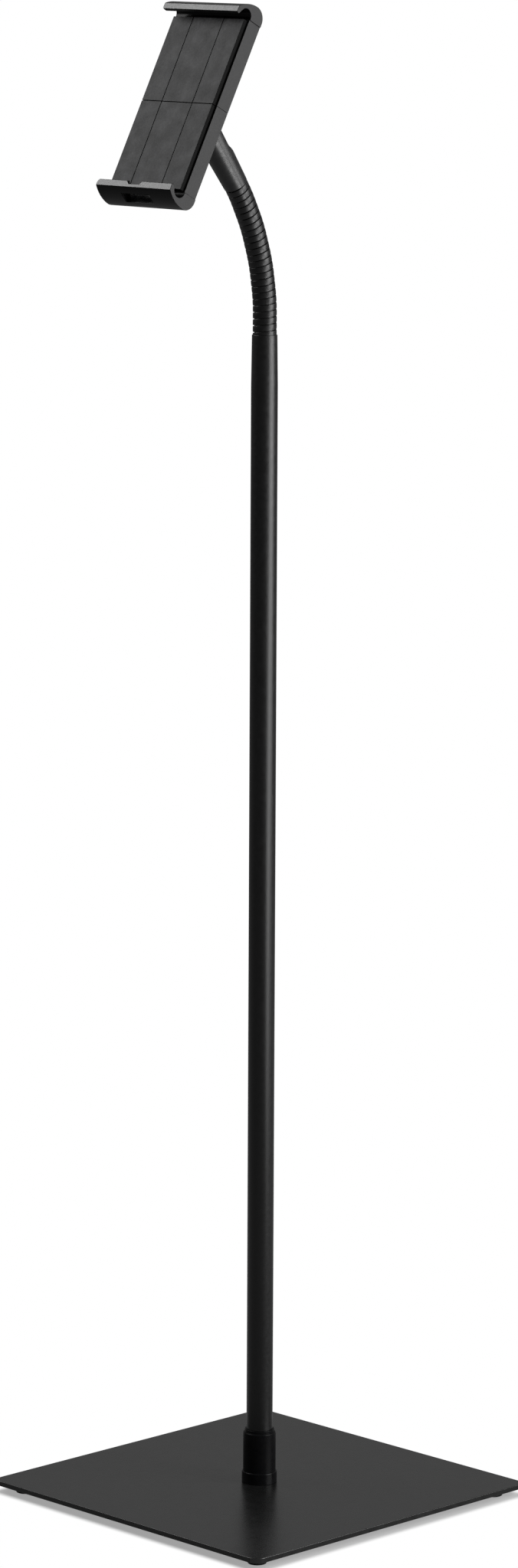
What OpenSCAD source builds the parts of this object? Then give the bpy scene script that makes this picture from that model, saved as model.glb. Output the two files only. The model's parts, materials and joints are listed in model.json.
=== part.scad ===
// Adjustable tablet floor stand, in millimetres, with +Z up.
// The origin is on the floor below the pole. The front of the stand is at -Y.

/* [Base] */
// Side of the square base plate
base_w = 290; // [220:1:400]
// Radius of the plate's corners
base_corner = 9; // [2:0.5:40]
// Thickness of the plate
base_t = 4; // [3:0.5:10]
// Height of the feet under the plate
foot_h = 6; // [6:0.5:14]
// Radius of a foot where it meets the plate
foot_r = 8; // [6:0.5:14]
// How much narrower a foot is at the floor
foot_taper = 1; // [0:0.25:2]
// Distance of a foot's centre from the plate's edges
foot_inset = 18; // [16:1:60]
// Diameter of the screw that holds a foot
foot_screw_d = 3.8; // [3:0.1:5]
// Diameter of that screw's head
foot_head_d = 7.4; // [6:0.1:9]
// Height of that screw's head
foot_head_h = 2.4; // [1.5:0.1:3]
// Rubber left between that head and the plate
foot_web = 2.6; // [1.5:0.1:4]

/* [Pole] */
// Outer diameter of the pole
pole_d = 20; // [16:0.5:30]
// Wall of the pole
pole_wall = 1.5; // [1:0.1:2.5]
// Length of the pole
pole_len = 881.5; // [400:0.5:1400]
// Length of the stretch that is drawn in at the top
pole_draw_len = 38; // [10:1:100]
// Diameter of the drawn-in top
pole_tip_d = 19; // [18.2:0.1:20]
// Length of the threaded plug in the pole's foot
plug_len = 30; // [20:1:60]
// Length of the threaded insert in the pole's top
insert_len = 26; // [15:1:60]

/* [Base joint] */
// Height of the sleeve that holds the pole
sleeve_h = 42; // [25:1:120]
// Wall of the sleeve
sleeve_wall = 2.45; // [2:0.05:6]
// Radius of the sleeve's rounded shoulder
sleeve_round = 1.6; // [0.4:0.1:1.8]
// Height of the ring round the sleeve's foot
ring_h = 9; // [4:0.5:20]
// Wall of that ring
ring_wall = 0.95; // [0.8:0.05:5]
// Radius of the ring's rounded edge
ring_round = 0.7; // [0.2:0.05:0.75]
// Diameter of the bolt from below
base_bolt_d = 8; // [6:0.5:10]
// Diameter of that bolt's low head
base_head_d = 16; // [12:0.5:20]
// Height of that bolt's low head
base_head_h = 3; // [2:0.1:4]
// How far that bolt reaches into the plug
base_bolt_grip = 26; // [12:1:29]
// Diameter of the washer under that bolt's head
base_washer_d = 20; // [17:0.5:30]
// Thickness of that washer
base_washer_t = 1.2; // [0.8:0.1:2]

/* [Neck] */
// Outer diameter of the wound neck
neck_d = 18; // [17:0.25:22]
// Diameter of the wound wire
wire_d = 3.25; // [2.6:0.05:3.4]
// Length of one rigid link of the neck
link_len = 9.5; // [9:0.1:14]
// Forward bend of the neck as it stands
neck_bend = 36; // [0:0.5:48]
// Gap between the pole's rim and the first turn
neck_rim_gap = 0.17; // [0.1:0.01:2]
// Wall of a link's cup
cup_wall = 1; // [0.7:0.05:1.4]
// How far a link's cup reaches past the ball's centre
cup_reach = 1.9; // [1.7:0.05:2.2]
// Radius of the stem below a ball
ball_stem_r = 2.2; // [1.5:0.05:2.6]
// Diameter of the neck's stud in the pole
stud_d = 10; // [6:0.5:12]
// Length of that stud
stud_len = 22; // [10:1:25]

/* [Adapter and hinge] */
// Distance from the neck's end to the hinge bolt
adapter_len = 64; // [52:0.5:90]
// Diameter of the adapter where it meets the neck
adapter_low_d = 18.3; // [17:0.1:22]
// Diameter of the adapter where it starts to close in on the hinge
adapter_top_d = 22; // [18:0.1:24]
// Diameter of the slotted end about the hinge bolt
stem_d = 16; // [15:0.25:18]
// Distance from the hinge bolt to where the adapter starts to close in
crown_len = 10; // [9:0.5:14]
// Distance from the hinge bolt to the flat back's shoulder
flat_len = 26; // [16:0.5:34]
// Distance of the flat back from the adapter's axis
flat_back = 4; // [3.5:0.1:8]
// Thickness of the hinge lug
lug_t = 6.4; // [5:0.1:7]
// Radius of the hinge lug's round end
lug_r = 7; // [5.5:0.1:7.5]
// Thickness of a friction washer
hinge_washer_t = 0.5; // [0.3:0.05:1]
// Radius of a friction washer
hinge_washer_r = 6.5; // [5:0.1:7]
// Thickness of an ear under the bolt's head
ear_t = 2.6; // [2:0.1:3]
// Diameter of the hinge bolt
hinge_bolt_d = 5; // [4:0.5:6]
// Diameter of the hinge bolt's head
hinge_head_d = 8.6; // [7:0.1:10]
// Height of the hinge bolt's head
hinge_head_h = 2.8; // [2:0.1:4]
// Width of the nut across its corners
hinge_nut_d = 9; // [7.5:0.1:10]
// Height of the nut
hinge_nut_h = 3.6; // [2:0.1:5]

/* [Swivel] */
// Diameter of the turntable behind the holder
hub_d = 36; // [28:0.5:48]
// Thickness of the turntable
hub_t = 3; // [2:0.1:5]
// Diameter of the turntable's spigot
spigot_d = 14; // [10:0.5:18]
// Diameter of the washer that keeps the holder on
swivel_washer_d = 20; // [19:0.5:22]
// Thickness of that washer
swivel_washer_t = 1; // [0.6:0.1:1.2]
// Diameter of the swivel screw
swivel_screw_d = 4; // [3:0.5:5]
// Diameter of the swivel screw's head
swivel_head_d = 7; // [5.5:0.1:9]
// Height of the swivel screw's head
swivel_head_h = 2; // [1:0.1:2.2]
// How far the swivel screw reaches into the spigot
swivel_grip = 5; // [3:0.5:7]

/* [Holder] */
// Lean of the holder back from upright, as it stands
holder_lean = 28; // [0:0.5:60]
// Width of the holder's shells
shell_w = 77.4; // [72:0.2:100]
// Depth of the holder's shells
shell_t = 12.2; // [12:0.1:16]
// Length of each half, from the seam to the hook
half_len = 69; // [66:0.5:100]
// Front wall of a shell
front_wall = 2.5; // [1.5:0.1:2.6]
// Back wall of a shell
back_wall = 2.5; // [2:0.1:3]
// Side wall of a shell
side_wall = 3; // [1.5:0.1:4]
// End wall of a shell, next to its hook
end_wall = 2.5; // [1.5:0.1:4]
// Width of the seam between the halves
seam = 0.3; // [0.1:0.05:1]
// Thickness of the front pads
pad_t = 3.6; // [1:0.1:5]
// Margin of the front pads at the sides and at the hooks
pad_margin = 1.65; // [0.5:0.05:6]
// Distance of the front pads from the middle of the seam
pad_seam = 0.35; // [0.15:0.05:2]
// Width of the middle pad
pad_mid_w = 31.5; // [16:0.5:50]
// Gap between neighbouring pads
pad_gap = 0.5; // [0.2:0.05:2]

/* [Slide] */
// Width of the fixed guide channel
guide_w = 56; // [50:0.5:60]
// Thickness of the guide channel's base
guide_t = 2; // [1.5:0.1:2.4]
// Thickness of the guide channel's sides
guide_wall = 1.5; // [1:0.1:3]
// Width of the guide channel's inward lips
guide_lip_w = 3.5; // [2:0.1:6]
// Thickness of those lips
guide_lip_t = 0.9; // [0.6:0.05:1.1]
// Distance from the guide channel's ends to the shells' ends
guide_end = 6; // [4:0.5:12]
// Thickness of the moving tongue
tongue_t = 3; // [2.4:0.1:3.2]
// Width of the slot in the tongue
tongue_slot_w = 24; // [23:0.5:30]
// Distance from the tongue's free end to the lower shell's end
tongue_end = 9; // [7:0.5:20]
// Diameter of the clamp springs
spring_d = 4.4; // [3:0.1:5]
// Distance from a spring's lower peg to the lower shell's end
spring_peg_end = 7; // [5.5:0.5:20]
// Distance from a spring's upper peg to the seam
spring_peg_seam = 8; // [4:0.5:40]
// Diameter of the spring pegs
peg_d = 2.4; // [1.6:0.1:4]

/* [Hooks] */
// Width of the hooks
hook_w = 78.4; // [60:0.2:100]
// Clear gap between a shell's front and the end of the lip
lip_gap = 12.3; // [11:0.1:16]
// Thickness of the lip at its end
lip_t = 2.4; // [1.5:0.1:4]
// Height of the lip's flat front face
lip_face = 4.75; // [3:0.05:7]
// How much the lip's face draws back over that height
lip_draw = 0.4; // [0:0.05:1]
// Radius of the hook's round back corner
hook_round = 9.45; // [7:0.05:10.5]
// Radius of the hook's round front
front_round = 26; // [22:0.5:60]
// Straight height of the hook's back
hook_back = 2.5; // [2:0.05:6]
// Radius of the hook's throat
throat_r = 5.3; // [4:0.05:5.4]
// Straight depth of the hook's throat
throat_straight = 0.9; // [0.2:0.05:2]
// Width of the cable notch at the end of the lower lip
notch_w = 16; // [8:0.5:30]
// Depth of the cable notch
notch_h = 2.6; // [1:0.1:4]
// How far each side of the cable notch leans in
notch_lean = 2.4; // [0:0.1:3]
// Width of the cable window in the lower hook
window_w = 30; // [12:0.5:36]
// Depth of the cable window from front to back
window_d = 8.4; // [4.5:0.1:9]
// Distance of the cable window's middle from the shell's front
window_mid = 5.9; // [5:0.1:6.5]

/* [Small screws] */
// Diameter of the holder's screws
screw_d = 3; // [2.5:0.1:3.5]
// Diameter of their heads
screw_head_d = 5.4; // [4.5:0.1:6]
// Height of their heads
screw_head_h = 1.3; // [1:0.1:1.4]
// How far the hook screws reach into a hook
hook_grip = 8; // [4:0.5:8.5]
// Radius of the screw bosses
boss_r = 4; // [3.2:0.1:5]
// Distance of the guide screws from the middle
guide_screw_x = 18; // [14:0.5:20]
// Distance of the upper guide screws from the seam
guide_screw_top = 28; // [16:1:36]
// Distance of the lower guide screws from the seam
guide_screw_low = 54; // [44:1:56]
// Distance of the tongue screws from the middle
tongue_screw_x = 10; // [6:0.5:16]
// Distance of the tongue screws from the seam
tongue_screw_top = 57; // [46:1:60]
// Distance of the hook screws from the middle
hook_screw_x = 20; // [8:0.5:24]

/* [Clearances] */
// Radial clearance of a fit that stays put or turns on a pin
fit = 0.05; // [0.02:0.01:0.08]
// Clearance of sliding and swinging faces
slide_gap = 0.3; // [0.2:0.05:0.4]
// Clearance of flat faces that turn on each other
turn_gap = 0.1; // [0.05:0.05:0.3]
// Room that neighbouring links need to swing
link_swing = 1.4; // [1.2:0.05:1.8]
// Room that the last turn needs below the adapter
adapter_swing = 1.6; // [1.4:0.05:3]

/* [Hidden] */
$fn = 96;

// A cut runs this far past the faces that it goes through
cut = 1;

// Heights along the pole
plate_top = foot_h + base_t;
pole_top = plate_top + pole_len;
pole_bore_r = pole_d / 2 - pole_wall;
sleeve_r = pole_d / 2 + fit + sleeve_wall;
ring_r = sleeve_r + fit + ring_wall;
foot_at = base_w / 2 - foot_inset;
foot_screw_tip = 0.5;

// Neck: links of two turns each; at rest it bends at two joints out of every three
link_count = 12;
turns_per_link = 2;
straight_every = 3;
rings_per_turn = 8;
wire_sides = 6;
wire_r = wire_d / 2;
coil_r = neck_d / 2 - wire_r;
wind_pitch = link_len / turns_per_link;
wind_end = 0.35;
neck_z = pole_top + wire_r + neck_rim_gap;
bent_joints = link_count - link_count / straight_every;
bend_step = neck_bend / bent_joints;
cup_r = coil_r * cos(180 / rings_per_turn) - wire_r - slide_gap;
ball_r = cup_r - cup_wall - slide_gap;
socket_r = ball_r + slide_gap;
link_body_top = link_len - cup_reach - link_swing;

function is_straight_joint(k) = (k - 1) % straight_every == 0;
function link_angle(k) = k <= 1 ? 0 : link_angle(k - 1) + (is_straight_joint(k - 1) ? 0 : bend_step);
function along(angle) = [0, -sin(angle), cos(angle)];
function link_start(k) = k <= 1 ? [0, 0, neck_z] : link_start(k - 1) + link_len * along(link_angle(k - 1));

// Hinge and holder frame: y runs up the holder and z towards the user, from the hinge bolt
adapter_angle = link_angle(link_count + 1);
hinge_point = link_start(link_count + 1) + adapter_len * along(adapter_angle);
adapter_foot = wire_r - wind_end + adapter_swing;
crown = adapter_len - crown_len;
flat_shoulder = adapter_len - flat_len;
slot_half = lug_t / 2 + turn_gap + hinge_washer_t;
ear_face = slot_half + ear_t;
slot_floor = adapter_len - lug_r - link_swing;
hinge_hole_r = hinge_bolt_d / 2 + fit;
nut_overrun = 0.4;
hub_top = stem_d / 2 + slide_gap + hub_t;
back_z = hub_top + turn_gap;
front_z = back_z + shell_t;
pad_front_z = front_z + pad_t;
guide_z = back_z + back_wall + slide_gap;
tongue_z = guide_z + guide_t + slide_gap;
lip_z = tongue_z + tongue_t + slide_gap;
front_inner_z = front_z - front_wall;
cavity_half = shell_w / 2 - side_wall;
tongue_half = guide_w / 2 - guide_wall - slide_gap;
spring_x = (guide_w / 2 + cavity_half) / 2;
cavity_mid_z = (back_z + back_wall + front_inner_z) / 2;
spigot_tip_z = guide_z + guide_t - turn_gap;
washer_z = guide_z + guide_t;
hub_notch_room = 1.5;
hub_notch_r = spigot_d / 2 + hub_notch_room;
pad_half = shell_w / 2 - pad_margin;
counterbore_h = screw_head_h + turn_gap;
screw_skin = 0.6;

// Hook profile: x is the distance in front of the shell, y the distance past its end
hook_mid = [hook_round - shell_t, hook_back];
lip_end = [lip_gap + lip_t, 0];
lip_edge = [lip_gap + lip_t - lip_draw, lip_face];
edge_away = lip_edge - hook_mid;
edge_dir = edge_away / norm(edge_away);
mid_apart = front_round - hook_round;
mid_along = (mid_apart ^ 2 - front_round ^ 2 + norm(edge_away) ^ 2) / (2 * norm(edge_away));
mid_across = sqrt(mid_apart ^ 2 - mid_along ^ 2);
front_mid = hook_mid + mid_along * edge_dir + mid_across * [edge_dir[1], -edge_dir[0]];
meet_angle = atan2(hook_mid[1] - front_mid[1], hook_mid[0] - front_mid[0]);
edge_angle = atan2(lip_edge[1] - front_mid[1], lip_edge[0] - front_mid[0]);
throat_mid = [throat_r, throat_straight];
lip_away = [lip_gap, 0] - throat_mid;
lip_angle = atan2(lip_away[1], lip_away[0]) + acos(throat_r / norm(lip_away));
arc_steps = 20;

// Least gap of a winding to itself, measured between the middles of its rings
wind_rings = round(turns_per_link * rings_per_turn * (1 - 2 * wind_end / link_len));
function wind_at(i) = wind_end + (link_len - 2 * wind_end) * i / wind_rings;
function wind_middle(s) = [coil_r * cos(360 * s / wind_pitch), coil_r * sin(360 * s / wind_pitch), s];
wind_gap = min([
    for (i = [0:wind_rings], j = [0:wind_rings])
        if (j - i >= rings_per_turn * 3 / 4) norm(wind_middle(wind_at(i)) - wind_middle(wind_at(j))) - wire_d
]);
echo(least_gap_of_a_winding_to_itself = wind_gap);

// Helpers

// A tube with a rounded outer top edge
module rounded_tube(inner, outer, height, round_r) {
    rotate_extrude() {
        translate([inner, 0]) square([outer - inner, height - round_r]);
        translate([inner, 0]) square([outer - round_r - inner, height]);
        translate([outer - round_r, height - round_r]) intersection() {
            circle(round_r);
            square(round_r);
        }
    }
}

// A plain tube along Z
module tube(inner, outer, height) {
    difference() {
        cylinder(r = outer, h = height);
        translate([0, 0, -cut]) cylinder(r = inner, h = height + 2 * cut);
    }
}

// A box given by its lowest and highest corners
module box(low, high) {
    translate(low) cube(high - low);
}

// Copies at the four corners of a square
module at_feet() {
    for (x = [-foot_at, foot_at], y = [-foot_at, foot_at]) translate([x, y, 0]) children();
}

// Copies at both sides of the middle plane
module both_sides(x) {
    for (side = [-x, x]) translate([side, 0, 0]) children();
}

module at_link(k) {
    translate(link_start(k)) rotate([link_angle(k), 0, 0]) children();
}

module in_holder() {
    translate(hinge_point) rotate([90 - holder_lean, 0, 0]) children();
}

// A cylinder along X from x0 to x1
module x_cylinder(x0, x1, r) {
    translate([x0, 0, 0]) rotate([0, 90, 0]) cylinder(r = r, h = x1 - x0);
}

// A cylinder along Y from y0 to y1
module y_cylinder(y0, y1, r) {
    translate([0, y1, 0]) rotate([90, 0, 0]) cylinder(r = r, h = y1 - y0);
}

// Base

module base_plate() {
    inner = base_w - 2 * base_corner;
    color("dimgray") translate([0, 0, foot_h]) difference() {
        linear_extrude(base_t) {
            square([base_w, inner], center = true);
            square([inner, base_w], center = true);
            for (x = [-inner / 2, inner / 2], y = [-inner / 2, inner / 2]) {
                translate([x, y]) circle(base_corner);
            }
        }
        translate([0, 0, -cut]) cylinder(d = base_bolt_d + 2 * slide_gap, h = base_t + 2 * cut);
        at_feet() translate([0, 0, -cut]) {
            cylinder(d = foot_screw_d + 2 * fit, h = base_t - foot_screw_tip + fit + cut);
        }
    }
}

module rubber_feet() {
    color("black") at_feet() difference() {
        cylinder(r1 = foot_r - foot_taper, r2 = foot_r, h = foot_h);
        translate([0, 0, -cut]) cylinder(d = foot_head_d + 2 * slide_gap, h = foot_h - foot_web + cut);
        cylinder(d = foot_screw_d + 2 * slide_gap, h = foot_h + cut);
    }
}

module foot_screws() {
    head_top = foot_h - foot_web;
    color("silver") at_feet() {
        translate([0, 0, head_top - foot_head_h]) cylinder(d = foot_head_d, h = foot_head_h);
        translate([0, 0, head_top]) cylinder(d = foot_screw_d, h = foot_web + base_t - foot_screw_tip);
    }
}

module base_bolt() {
    seat = foot_h - base_washer_t;
    color("silver") {
        translate([0, 0, seat - base_head_h]) cylinder(d = base_head_d, h = base_head_h);
        translate([0, 0, seat]) cylinder(d = base_bolt_d, h = plate_top + base_bolt_grip - seat);
    }
}

module base_washer() {
    color("gray") translate([0, 0, foot_h - base_washer_t]) {
        tube(base_bolt_d / 2 + slide_gap, base_washer_d / 2, base_washer_t);
    }
}

module base_sleeve() {
    color("#202020") translate([0, 0, plate_top]) {
        rounded_tube(pole_d / 2 + fit, sleeve_r, sleeve_h, sleeve_round);
    }
}

module base_ring() {
    color("#303030") translate([0, 0, plate_top]) rounded_tube(sleeve_r + fit, ring_r, ring_h, ring_round);
}

// Pole

module pole_plug() {
    color("gray") translate([0, 0, plate_top]) tube(base_bolt_d / 2 + fit, pole_bore_r - fit, plug_len);
}

module pole_tube() {
    rim = (pole_tip_d / 2 - pole_bore_r) / 3;
    color("#181818") translate([0, 0, plate_top]) rotate_extrude() polygon([
        [pole_bore_r, 0],
        [pole_d / 2, 0],
        [pole_d / 2, pole_len - pole_draw_len],
        [pole_tip_d / 2, pole_len - rim],
        [pole_tip_d / 2 - rim, pole_len],
        [pole_bore_r, pole_len]
    ]);
}

module pole_top_insert() {
    color("gray") translate([0, 0, pole_top - insert_len]) {
        tube(stud_d / 2 + fit, pole_bore_r - fit, insert_len);
    }
}

// Neck

// The ball at the top of a link, on its stem
module link_ball() {
    translate([0, 0, link_body_top]) cylinder(r = ball_stem_r, h = link_len - link_body_top);
    translate([0, 0, link_len]) sphere(ball_r);
}

module neck_root() {
    collar_foot = pole_top - neck_z;
    color("gray") at_link(1) {
        translate([0, 0, collar_foot - stud_len]) cylinder(d = stud_d, h = stud_len);
        translate([0, 0, collar_foot]) cylinder(r = cup_r, h = link_body_top - collar_foot);
        link_ball();
    }
}

module neck_link(k) {
    color("gray") at_link(k) {
        difference() {
            translate([0, 0, -cup_reach]) cylinder(r = cup_r, h = link_body_top + cup_reach);
            sphere(socket_r);
        }
        link_ball();
    }
}

// One unbroken right-handed tube of two turns
module neck_winding(k) {
    function ring(s) = [
        for (side = [0:wire_sides - 1])
            let (a = 360 * side / wire_sides, r = coil_r + wire_r * cos(a), turn = 360 * s / wind_pitch)
                [r * cos(turn), r * sin(turn), s + wire_r * sin(a)]
    ];
    function corner(i, side) = i * wire_sides + side % wire_sides;
    points = [for (i = [0:wind_rings]) each ring(wind_at(i))];
    skin = [
        for (i = [0:wind_rings - 1], side = [0:wire_sides - 1]) each [
            [corner(i, side), corner(i, side + 1), corner(i + 1, side + 1)],
            [corner(i, side), corner(i + 1, side + 1), corner(i + 1, side)]
        ]
    ];
    first_cap = [for (side = [1:wire_sides - 2]) [corner(0, 0), corner(0, side + 1), corner(0, side)]];
    last_cap = [
        for (side = [1:wire_sides - 2])
            [corner(wind_rings, 0), corner(wind_rings, side), corner(wind_rings, side + 1)]
    ];
    color("#383838") at_link(k) polyhedron(points, concat(skin, first_cap, last_cap));
}

// Adapter and hinge

module neck_adapter() {
    tip = adapter_len + stem_d / 2 + cut;
    color("#282828") at_link(link_count + 1) difference() {
        union() {
            translate([0, 0, -cup_reach]) cylinder(r = cup_r, h = cup_reach + adapter_foot);
            rotate_extrude() polygon([
                [0, adapter_foot],
                [adapter_low_d / 2, adapter_foot],
                [adapter_top_d / 2, crown],
                [stem_d / 2, adapter_len],
                [0, adapter_len]
            ]);
            translate([0, 0, adapter_len]) intersection() {
                cylinder(d = stem_d, h = stem_d / 2);
                x_cylinder(-stem_d / 2, stem_d / 2, stem_d / 2);
            }
        }
        sphere(socket_r);
        box([-slot_half, -stem_d, slot_floor], [slot_half, stem_d, tip]);
        translate([-adapter_top_d, 0, 0]) rotate([90, 0, 90]) linear_extrude(2 * adapter_top_d) polygon([
            [flat_back, flat_shoulder],
            [flat_back + adapter_top_d, flat_shoulder - adapter_top_d],
            [flat_back + adapter_top_d, tip],
            [flat_back, tip]
        ]);
        translate([0, 0, adapter_len]) {
            x_cylinder(-stem_d, stem_d, hinge_hole_r);
            x_cylinder(ear_face, stem_d, hinge_head_d / 2 + slide_gap);
            x_cylinder(-stem_d, -ear_face, hinge_nut_d / 2 + slide_gap);
        }
    }
}

module hinge_bolt() {
    tip = ear_face + hinge_nut_h + nut_overrun;
    color("silver") translate(hinge_point) {
        x_cylinder(-tip, ear_face, hinge_bolt_d / 2);
        x_cylinder(ear_face, ear_face + hinge_head_h, hinge_head_d / 2);
    }
}

module hinge_nut() {
    color("silver") translate(hinge_point) difference() {
        translate([-ear_face - hinge_nut_h, 0, 0]) rotate([0, 90, 0]) {
            cylinder(d = hinge_nut_d, h = hinge_nut_h, $fn = 6);
        }
        x_cylinder(-stem_d, 0, hinge_hole_r);
    }
}

module hinge_washers() {
    color("khaki") translate(hinge_point) {
        for (x = [-slot_half, slot_half - hinge_washer_t]) translate([x, 0, 0]) rotate([0, 90, 0]) {
            tube(hinge_hole_r, hinge_washer_r, hinge_washer_t);
        }
    }
}

// Swivel

module swivel_hub() {
    lug_top = hub_top - hub_t;
    color("#404040") in_holder() difference() {
        union() {
            x_cylinder(-lug_t / 2, lug_t / 2, lug_r);
            box([-lug_t / 2, -lug_r, 0], [lug_t / 2, lug_r, lug_top]);
            translate([0, 0, lug_top]) cylinder(d = hub_d, h = hub_t);
            translate([0, 0, hub_top]) cylinder(r = spigot_d / 2 - fit, h = spigot_tip_z - hub_top);
        }
        x_cylinder(-lug_t, lug_t, hinge_hole_r);
        translate([0, 0, spigot_tip_z - swivel_grip - turn_gap]) {
            cylinder(d = swivel_screw_d + 2 * fit, h = swivel_grip + turn_gap + cut);
        }
    }
}

module swivel_washer() {
    color("gray") in_holder() translate([0, 0, washer_z + turn_gap]) {
        tube(swivel_screw_d / 2 + fit, swivel_washer_d / 2, swivel_washer_t);
    }
}

module swivel_screw() {
    seat = washer_z + turn_gap + swivel_washer_t;
    color("silver") in_holder() {
        translate([0, 0, seat]) cylinder(d = swivel_head_d, h = swivel_head_h);
        translate([0, 0, spigot_tip_z - swivel_grip]) {
            cylinder(d = swivel_screw_d, h = seat - spigot_tip_z + swivel_grip);
        }
    }
}

// Holder

// A shell from the seam upwards, open at the seam, with its spring pegs at peg_y
module shell(peg_y) {
    difference() {
        box([-shell_w / 2, seam / 2, back_z], [shell_w / 2, half_len, front_z]);
        box([-cavity_half, 0, back_z + back_wall], [cavity_half, half_len - end_wall, front_inner_z]);
        translate([0, 0, back_z - cut]) cylinder(r = hub_notch_r, h = back_wall + 2 * cut);
        both_sides(hook_screw_x) translate([0, 0, cavity_mid_z]) {
            y_cylinder(half_len - end_wall - cut, half_len + cut, screw_d / 2 + fit);
        }
    }
    both_sides(spring_x) translate([0, peg_y, back_z + back_wall]) {
        cylinder(d = peg_d, h = front_inner_z - back_z - back_wall);
    }
}

// Copies at the four guide screws, on the holder's back
module at_guide_screws() {
    for (y = [guide_screw_top, guide_screw_low]) both_sides(guide_screw_x) {
        translate([0, -y, back_z]) children();
    }
}

// Copies at the two tongue screws, on the tongue's back
module at_tongue_screws() {
    both_sides(tongue_screw_x) translate([0, tongue_screw_top, tongue_z]) children();
}

module lower_shell() {
    color("#303030") in_holder() difference() {
        union() {
            mirror([0, 1, 0]) shell(half_len - spring_peg_end);
            at_guide_screws() translate([0, 0, back_wall]) cylinder(r = boss_r, h = slide_gap);
        }
        at_guide_screws() translate([0, 0, -cut]) {
            cylinder(d = screw_d + 2 * fit, h = back_wall + slide_gap + 2 * cut);
            cylinder(d = screw_head_d + 2 * slide_gap, h = counterbore_h + cut);
        }
    }
}

module upper_shell() {
    hole_h = front_z - screw_skin + turn_gap - tongue_z;
    color("#353535") in_holder() difference() {
        union() {
            shell(spring_peg_seam);
            at_tongue_screws() translate([0, 0, tongue_t]) {
                cylinder(r = boss_r, h = front_inner_z - tongue_z - tongue_t);
            }
        }
        at_tongue_screws() cylinder(d = screw_d + 2 * fit, h = hole_h);
    }
}

module guide_channel() {
    end = half_len - guide_end;
    side_top = lip_z + guide_lip_t;
    color("silver") in_holder() difference() {
        union() {
            box([-guide_w / 2, -end, guide_z], [guide_w / 2, end, guide_z + guide_t]);
            for (turn = [0, 180]) rotate([0, 0, turn]) {
                box([guide_w / 2 - guide_wall, -end, guide_z], [guide_w / 2, end, side_top]);
                box([guide_w / 2 - guide_wall - guide_lip_w, -end, lip_z], [guide_w / 2, end, side_top]);
            }
        }
        translate([0, 0, guide_z - cut]) cylinder(d = spigot_d, h = guide_t + 2 * cut);
        at_guide_screws() cylinder(d = screw_d + 2 * fit, h = guide_z + guide_t - back_z + cut);
    }
}

module guide_screws() {
    tip = guide_z + guide_t - back_z - turn_gap;
    color("gray") in_holder() at_guide_screws() {
        translate([0, 0, counterbore_h - screw_head_h]) cylinder(d = screw_head_d, h = screw_head_h);
        translate([0, 0, counterbore_h]) cylinder(d = screw_d, h = tip - counterbore_h);
    }
}

module slide_tongue() {
    low = -half_len + tongue_end;
    high = half_len - end_wall - screw_head_h - slide_gap;
    color("lightgray") in_holder() difference() {
        box([-tongue_half, low, tongue_z], [tongue_half, high, tongue_z + tongue_t]);
        box([-tongue_slot_w / 2, low - cut, tongue_z - cut],
            [tongue_slot_w / 2, tongue_slot_w / 2, tongue_z + tongue_t + cut]);
        at_tongue_screws() translate([0, 0, -cut]) {
            cylinder(d = screw_d + 2 * fit, h = tongue_t + 2 * cut);
            cylinder(d = screw_head_d + 2 * slide_gap, h = counterbore_h + cut);
        }
    }
}

module tongue_screws() {
    tip = front_z - screw_skin - tongue_z;
    color("gray") in_holder() at_tongue_screws() {
        translate([0, 0, counterbore_h - screw_head_h]) cylinder(d = screw_head_d, h = screw_head_h);
        translate([0, 0, counterbore_h]) cylinder(d = screw_d, h = tip - counterbore_h);
    }
}

module clamp_springs() {
    low = -half_len + spring_peg_end + peg_d / 2 + slide_gap;
    high = spring_peg_seam - peg_d / 2 - slide_gap;
    color("goldenrod") in_holder() both_sides(spring_x) translate([0, 0, cavity_mid_z]) {
        y_cylinder(low, high, spring_d / 2);
    }
}

// Points on an arc about a middle, from one angle to another
function arc(middle, r, from, to) = [
    for (i = [0:arc_steps])
        let (a = from + (to - from) * i / arc_steps) middle + r * [cos(a), sin(a)]
];

// Hook outline, cut off flat at the shell's end
module hook_outline() {
    polygon(concat(
        [[-shell_t, 0]],
        arc(hook_mid, hook_round, 180, meet_angle),
        arc(front_mid, front_round, meet_angle, edge_angle),
        [lip_end, [lip_gap, 0]],
        arc(throat_mid, throat_r, lip_angle, 180),
        [[0, 0]]
    ));
}

// A hook past the upper end of the holder, with its screw holes
module hook() {
    difference() {
        translate([0, half_len, front_z]) rotate([0, -90, 0]) {
            linear_extrude(hook_w, center = true) hook_outline();
        }
        both_sides(hook_screw_x) translate([0, 0, cavity_mid_z]) {
            y_cylinder(half_len - cut, half_len + hook_grip + turn_gap, screw_d / 2 + fit);
        }
    }
}

// Screws from inside a shell into the hook past the upper end
module hook_screws() {
    seat = half_len - end_wall;
    both_sides(hook_screw_x) translate([0, 0, cavity_mid_z]) {
        y_cylinder(seat - screw_head_h, seat, screw_head_d / 2);
        y_cylinder(seat, half_len + hook_grip, screw_d / 2);
    }
}

module upper_hook() {
    color("#202020") in_holder() hook();
}

module lower_hook() {
    past_hook = half_len + hook_back + hook_round + cut;
    window_z = front_z + window_mid;
    color("#202020") in_holder() mirror([0, 1, 0]) difference() {
        hook();
        translate([0, half_len, front_z + throat_r]) linear_extrude(2 * lip_gap) polygon([
            [-notch_w / 2, -cut], [notch_w / 2, -cut], [notch_w / 2, 0],
            [notch_w / 2 - notch_lean, notch_h], [notch_lean - notch_w / 2, notch_h], [-notch_w / 2, 0]
        ]);
        box([-window_w / 2, half_len + throat_straight, window_z - window_d / 2],
            [window_w / 2, past_hook, window_z + window_d / 2]);
    }
}

module upper_hook_screws() {
    color("gray") in_holder() hook_screws();
}

module lower_hook_screws() {
    color("gray") in_holder() mirror([0, 1, 0]) hook_screws();
}

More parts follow.
